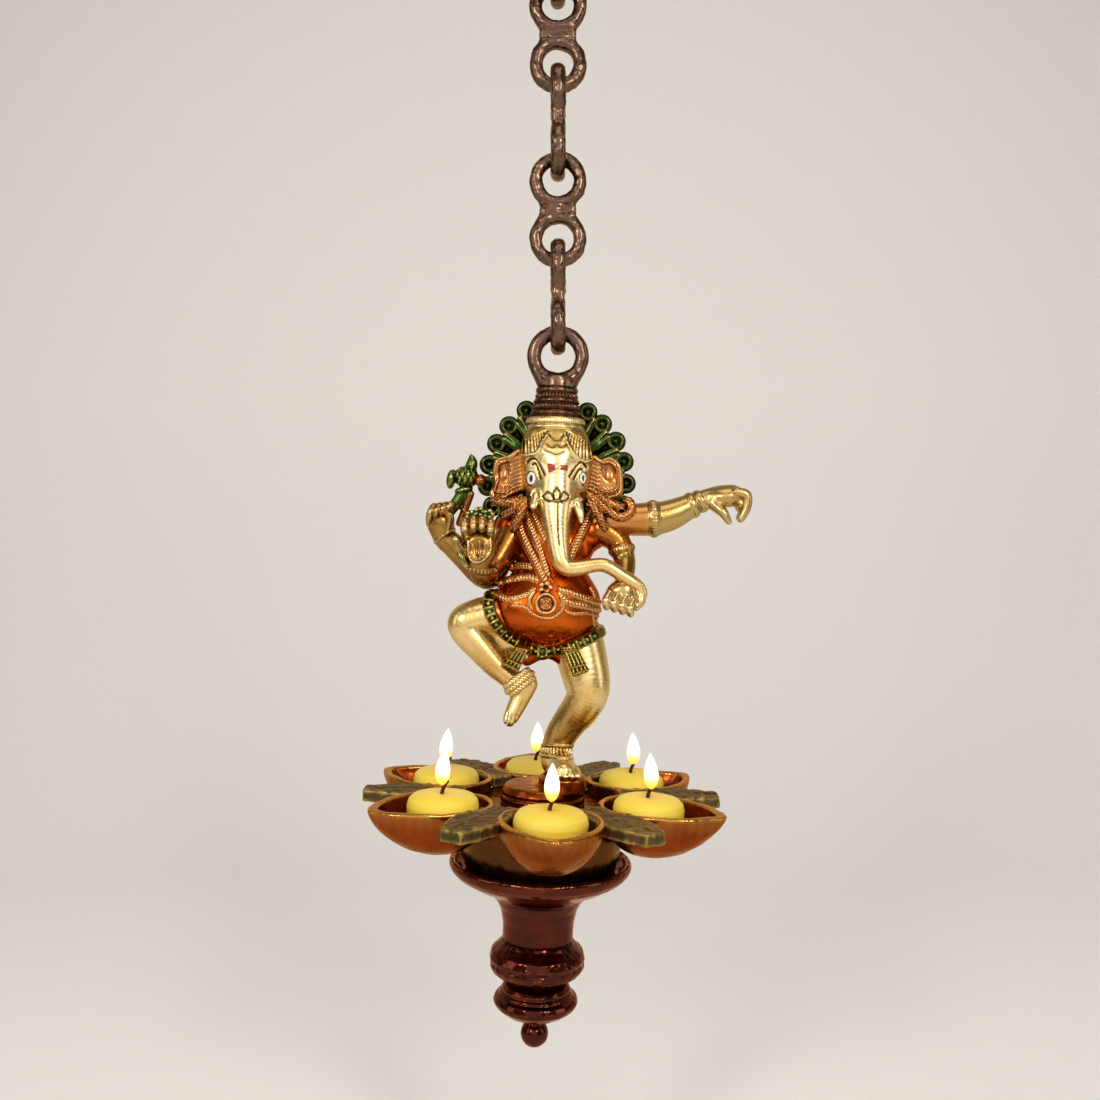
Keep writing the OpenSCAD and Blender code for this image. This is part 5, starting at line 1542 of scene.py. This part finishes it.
def bowl_wear_highlight_and_shade(p):
    """Gold on the rubbed lip, a painted golden highlight under it, painted shade of deep red below, red-brown
    satin inside.
    """
    x, y, z = p.T
    uneven = np.sin(x * 0.9) * np.sin(y * 0.7 + 1)
    # painted highlight above, painted shade below
    tone = np.where((z > -13)[:, None], linear("#a66f30"), linear("#74230a"))
    highlight_share = 0.45 * ramp(z + 2 * uneven, -10, 9)
    out = np.column_stack([tone, 0.55 * ramp(z, -13, -11) + highlight_share])
    out[spindle(x, y, z, BOWL_IN_HALF_W, BOWL_IN_TIP) < 0.5] = (*linear("#a14c1c"), 0.7)
    lip = ramp(z + 0.5 * uneven, -1.7, 1.5)[:, None]
    return lip * (*linear("#c08c42"), 0.65) + (1 - lip) * out


def leaf_tint(p):
    """Green lacquer left at the leaf's end."""
    return laid(linear("#2c4216"), 0.45 * ramp(p[:, 0] + 2.5 * np.sin(p[:, 1] * 0.8), 93, 5))


LEAF = [(42, -6), (56, -11), (72, -13), (86, -10.6), (97.4, -5.8), (97.9, 0), (97.4, 5.8), (86, 10.6),
        (72, 13), (56, 11), (42, 6)]


class LAMP_OT_leaves(bpy.types.Operator):
    """Casts the six leaves that lie between the bowls"""
    bl_idname = "lamp.leaves"
    bl_label = "Leaves"

    def execute(self, context):
        for i in range(BOWLS):
            wax = wax_block(context, (38, -16, -10), (102, 16, 4), "tray")
            cut, x, y, z = wax.whole()
            wax.merge(cut, rounded(outline_distance(LEAF, x, y), np.abs(z + 3.7) - 3.3, 1.2))
            vein = 0.5 * np.exp(-(y / 1.0) ** 2) + 0.12 * np.cos((np.abs(y) * 0.8 + x) * 1.1)
            wax.field[cut] += np.where(z > -3, vein, 0).astype(np.float32)
            wax.grit(amount=0.5, size=5, seed=90 + i)
            wax.grit(amount=0.25, size=1.9, seed=100 + i)
            spoke = on_spoke(BOWL_FIRST + BOWL_STEP * (i + 0.5), 0)
            pour(context, wax, f"leaf_{i + 1}", "leaf_patina", "olive_patina", leaf_tint, spoke)
        return {"FINISHED"}


SAUCER = [(0, -43.4), (43, -43.4), (46.2, -40.4), (47.4, -38), (48.4, -37.6), (49.4, -38.4), (49.6, -40),
          (48.6, -42.4), (45.6, -45.4), (38, -49.8), (30, -53.6), (26.4, -55.8), (25, -57.8), (0, -57.8)]
COLUMN = [(0, -58.2), (23.8, -58.2), (20.8, -64.1), (19.1, -71.5), (18.8, -80.6), (0, -80.6)]
KNOP = [(0, -81.2), (18.8, -81.2), (20.4, -83.6), (24.6, -87.6), (25.8, -91), (25.2, -92.4),
        (24.6, -93.1), (25.2, -94), (25.4, -95.6), (24.2, -98), (20.8, -100.6), (15, -102.8), (0, -102.8)]
DISC = [(0, -103.4), (14.6, -103.4), (12.6, -104.8), (17, -106.2), (18.4, -108), (18, -109.4),
        (19.6, -110.4), (19.4, -111.4), (22, -112.8), (22.8, -115), (21.8, -117.2), (17.4, -120.8),
        (9.8, -124.6), (5.8, -126), (0, -126)]


class LAMP_OT_stem(bpy.types.Operator):
    """Casts the saucer, column, knop, lower disc and ball of the stem"""
    bl_idname = "lamp.stem"
    bl_label = "Stem"

    def execute(self, context):
        tone = tuple(context.scene.lamp_colours.mahogany)

        def flowed(p):
            """Lacquer flowed over the joints of the stem."""
            joint = np.min([np.abs(p[:, 2] - z) for z in (-58, -80.9, -103.1)], axis=0)
            return laid(tone, np.clip(2.2 - joint, 0, 1))
        rows = (("saucer", SAUCER, 0.1), ("stem_column", COLUMN, 0.08), ("knop", KNOP, 0.34),
                ("lower_disc", DISC, 0.16))
        for i, (name, outline, rough) in enumerate(rows):
            (_, bottom), (r, top) = np.min(outline, 0) - ROOM, np.max(outline, 0) + ROOM
            wax = wax_block(context, (-r, -r, bottom), (r, r, top), "tray")
            wax.turned(outline, edge=0.5)
            wax.turned(ROD_BORE, edge=0, carve=True)
            wax.grit(rough, size=2.6, seed=110 + i)
            pour(context, wax, name, "mahogany_lacquer", "red_brown_lacquer", flowed, on_lamp)
        wax = wax_block(context, (-10, -10, -144), (10, 10, -122))
        wax.oval((0, 0, -133.6), (7.6, 7.6, 7.6), soft=0)
        wax.limb([(0, 0, -127.4, 4.6), (0, 0, -124.6, 5)], soft=1.5)
        wax.grit(amount=0.1, size=2.6, seed=120)
        pour(context, wax, "ball_finial", "mahogany_lacquer", "red_brown_lacquer", place=on_lamp)
        for name in ("tie_rod", "lock_nut"):
            node = frame["nodes"][name]
            node.data.materials.clear()
            node.data.materials.append(finish_of(context, "drawn_steel"))
        return {"FINISHED"}


# Candles

CANDLE = [(0, -16.7), (14, -16.7), (17.2, -9), (17.9, -2), (17.2, 0.8), (15.4, 2.6), (12, 3.6), (7, 3.9),
          (3.4, 3.2), (0, 3.0)]
WICK = [(-0.8, 2, 1.0), (-0.6, 5, 1.0), (0.4, 8, 0.95), (1.9, 10.4, 0.8)]  # lean, height, radius
WICK_GRAIN = 0.3
FLAME_R, FLAME_TIP_R = 4.5, 0.02  # radius at the widest place, and at the two ends
FLAME_FOOT = 8.2  # lower end over the bowl's rim
FLAME_OUT, FLAME_BEND = 1.0, 1.2  # how far the lower end stands out along the bowl, and the tip bends in


class LAMP_OT_candles(bpy.types.Operator):
    """Pours the six candles and sets their wicks and flames"""
    bl_idname = "lamp.candles"
    bl_label = "Candles"

    def execute(self, context):
        for i in range(BOWLS):
            body, place = f"candle_{i + 1}_loose", on_spoke(BOWL_FIRST + BOWL_STEP * i, BOWL_PITCH_R)
            wax = wax_block(context, (-22, -22, -21), (22, 22, 9), "tray")
            wax.turned(CANDLE, edge=0.9)
            wax.grit(amount=0.25, size=11, seed=130 + i)
            yellow, cotton = finish_of(context, "candle_wax"), finish_of(context, "charred_cotton")
            wax.cast(f"candle_{i + 1}_wax", place, body, "wax", yellow, [f"candle_{i + 1}"])
            wick = WaxForm((-5, -5, 0), (5, 5, 16), WICK_GRAIN)
            # All wicks lean one way, whichever way their bowls point.
            a = math.radians(BOWL_FIRST + BOWL_STEP * i)
            wick.limb([(b * math.cos(a), -b * math.sin(a), z, r) for b, z, r in WICK], soft=0)
            wick.cast(f"wick_{i + 1}_cotton", place, body, "wick", cotton, [f"wick_{i + 1}"])
            self.flame(context, i, place, body)
        return {"FINISHED"}

    def flame(self, context, i, place, body):
        """A still flame: a slim drop, round below and drawn out above."""
        high = context.scene.lamp_sizes.flame_height / MM
        rings, sides = 24, 20
        points, faces, rise = [], [], []
        for k in range(rings + 1):
            t = k / rings
            r = FLAME_TIP_R
            if 0 < k < rings:
                r = FLAME_R * math.sin(math.pi * t ** 0.85) ** 0.72 * (1 - 0.35 * t)
            for s, a in enumerate(round_angles(sides)):
                x = r * math.cos(a) - FLAME_BEND * t * t + FLAME_OUT
                points.append((x, r * math.sin(a), FLAME_FOOT + high * t))
                rise.append(t)
                if k:
                    n = (s + 1) % sides
                    faces.append(((k - 1) * sides + s, (k - 1) * sides + n, k * sides + n, k * sides + s))
        piece = mesh_piece(f"flame_{i + 1}", place(np.array(points)), faces, body,
                           finish_of(context, "flame"), [])
        layer = piece.data.attributes.new("rise", "FLOAT", "POINT")
        layer.data.foreach_set("value", np.array(rise, np.float32))


# Stage

MIDDLE = Vector((0, 0, -0.33))  # what the lights face
# Each soft box's place and size in metres, and its watts.
LIGHTS = [("front_box", (0.0, -1.7, 0.15), (1.6, 1.6), 8.5), ("key_left", (-0.6, -1.0, 0.1), (0.2, 0.3), 4.5),
          ("key_right", (0.5, -1.0, 0.15), (0.2, 0.3), 4.5), ("left_box", (-1.5, -0.6, 0.2), (0.5, 1.3), 4),
          ("right_box", (1.5, -0.5, 0.0), (0.4, 1.2), 3.5), ("top_box", (0.1, -0.5, 1.1), (1.0, 0.8), 5)]


class LAMP_OT_stage(bpy.types.Operator):
    """Sets the pale paper sweep, the soft lights and the camera"""
    bl_idname = "lamp.stage"
    bl_label = "Stage"

    def execute(self, context):
        self.sweep(context)
        self.lights(context)
        self.camera(context)
        context.scene.view_settings.view_transform = "Standard"
        return {"FINISHED"}

    def sweep(self, context):
        """Paper that runs under the lamp and bends up behind it."""
        floor, wide, near, far, bend, top = -0.75, 4.0, -3.5, 1.4, 0.7, 3.2
        section = [(near, floor), (far - bend, floor)]
        for a in np.linspace(0.1, math.pi / 2, 16):
            section.append((far - bend + bend * math.sin(a), floor + bend - bend * math.cos(a)))
        section.append((far, top))
        points = [(x, y, z) for y, z in section for x in (-wide, wide)]
        faces = [(2 * k, 2 * k + 1, 2 * k + 3, 2 * k + 2) for k in range(len(section) - 1)]
        mesh = bpy.data.meshes.new("paper_sweep")
        mesh.from_pydata(points, [], faces)
        mesh.shade_smooth()
        mesh.materials.append(finish_of(context, "paper"))
        paper_sweep = bpy.data.objects.new("paper_sweep", mesh)
        context.scene.collection.objects.link(paper_sweep)

    def lights(self, context):
        """A dim even room and six soft boxes."""
        world = context.scene.world or bpy.data.worlds.new("studio")
        context.scene.world = world
        world.use_nodes = True
        room = next(n for n in world.node_tree.nodes if n.type == "BACKGROUND")
        room.inputs["Color"].default_value = (*linear("#cfc8c2"), 1)
        room.inputs["Strength"].default_value = 0.3
        for name, at, size, watts in LIGHTS:
            lamp = bpy.data.lights.new(name, "AREA")
            lamp.shape, lamp.size, lamp.size_y, lamp.energy = "RECTANGLE", size[0], size[1], watts
            lamp.color = (1.0, 0.97, 0.92)
            light = bpy.data.objects.new(name, lamp)
            light.location = at
            light.rotation_euler = (MIDDLE - Vector(at)).to_track_quat("-Z", "Y").to_euler()
            context.scene.collection.objects.link(light)

    def camera(self, context):
        """The photo's view: level, close and straight from the front."""
        lens = bpy.data.cameras.new("front_camera")
        lens.lens, lens.sensor_width = 34.69, 36.0
        lens.clip_start, lens.clip_end = 0.02, 20
        camera = bpy.data.objects.new("front_camera", lens)
        camera.location = (-0.0044, -0.583, -0.347)
        camera.rotation_euler = (math.pi / 2, 0, 0)
        context.scene.collection.objects.link(camera)
        context.scene.camera = camera


class LAMP_PT_panel(bpy.types.Panel):
    """Lists the lamp's pieces, sizes and finishes"""
    bl_idname = "LAMP_PT_panel"
    bl_label = "Hanging lamp"
    bl_space_type = "VIEW_3D"
    bl_region_type = "UI"
    bl_category = "Lamp"

    def draw(self, context):
        for group in (context.scene.lamp_sizes, context.scene.lamp_colours):
            for key in group.bl_rna.properties.keys():
                if key not in ("rna_type", "name"):
                    self.layout.prop(group, key)
        for maker in OPERATORS:
            self.layout.operator(maker.bl_idname)


OPERATORS = (LAMP_OT_stage, LAMP_OT_chain, LAMP_OT_crown, LAMP_OT_head, LAMP_OT_ears, LAMP_OT_halo,
             LAMP_OT_torso, LAMP_OT_arms, LAMP_OT_mace, LAMP_OT_legs, LAMP_OT_pedestal, LAMP_OT_tray,
             LAMP_OT_leaves, LAMP_OT_stem, LAMP_OT_candles)
CLASSES = (LampColours, LampSizes, *OPERATORS, LAMP_PT_panel)


def register():
    for cls in CLASSES:
        bpy.utils.register_class(cls)
    bpy.types.Scene.lamp_colours = bpy.props.PointerProperty(type=LampColours)
    bpy.types.Scene.lamp_sizes = bpy.props.PointerProperty(type=LampSizes)


def unregister():
    del bpy.types.Scene.lamp_colours, bpy.types.Scene.lamp_sizes
    for cls in reversed(CLASSES):
        bpy.utils.unregister_class(cls)


def main():
    """Registers the add-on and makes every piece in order."""
    register()
    for maker in OPERATORS:
        getattr(bpy.ops.lamp, maker.bl_idname.split(".")[1])()


if __name__ == "__main__":
    main()
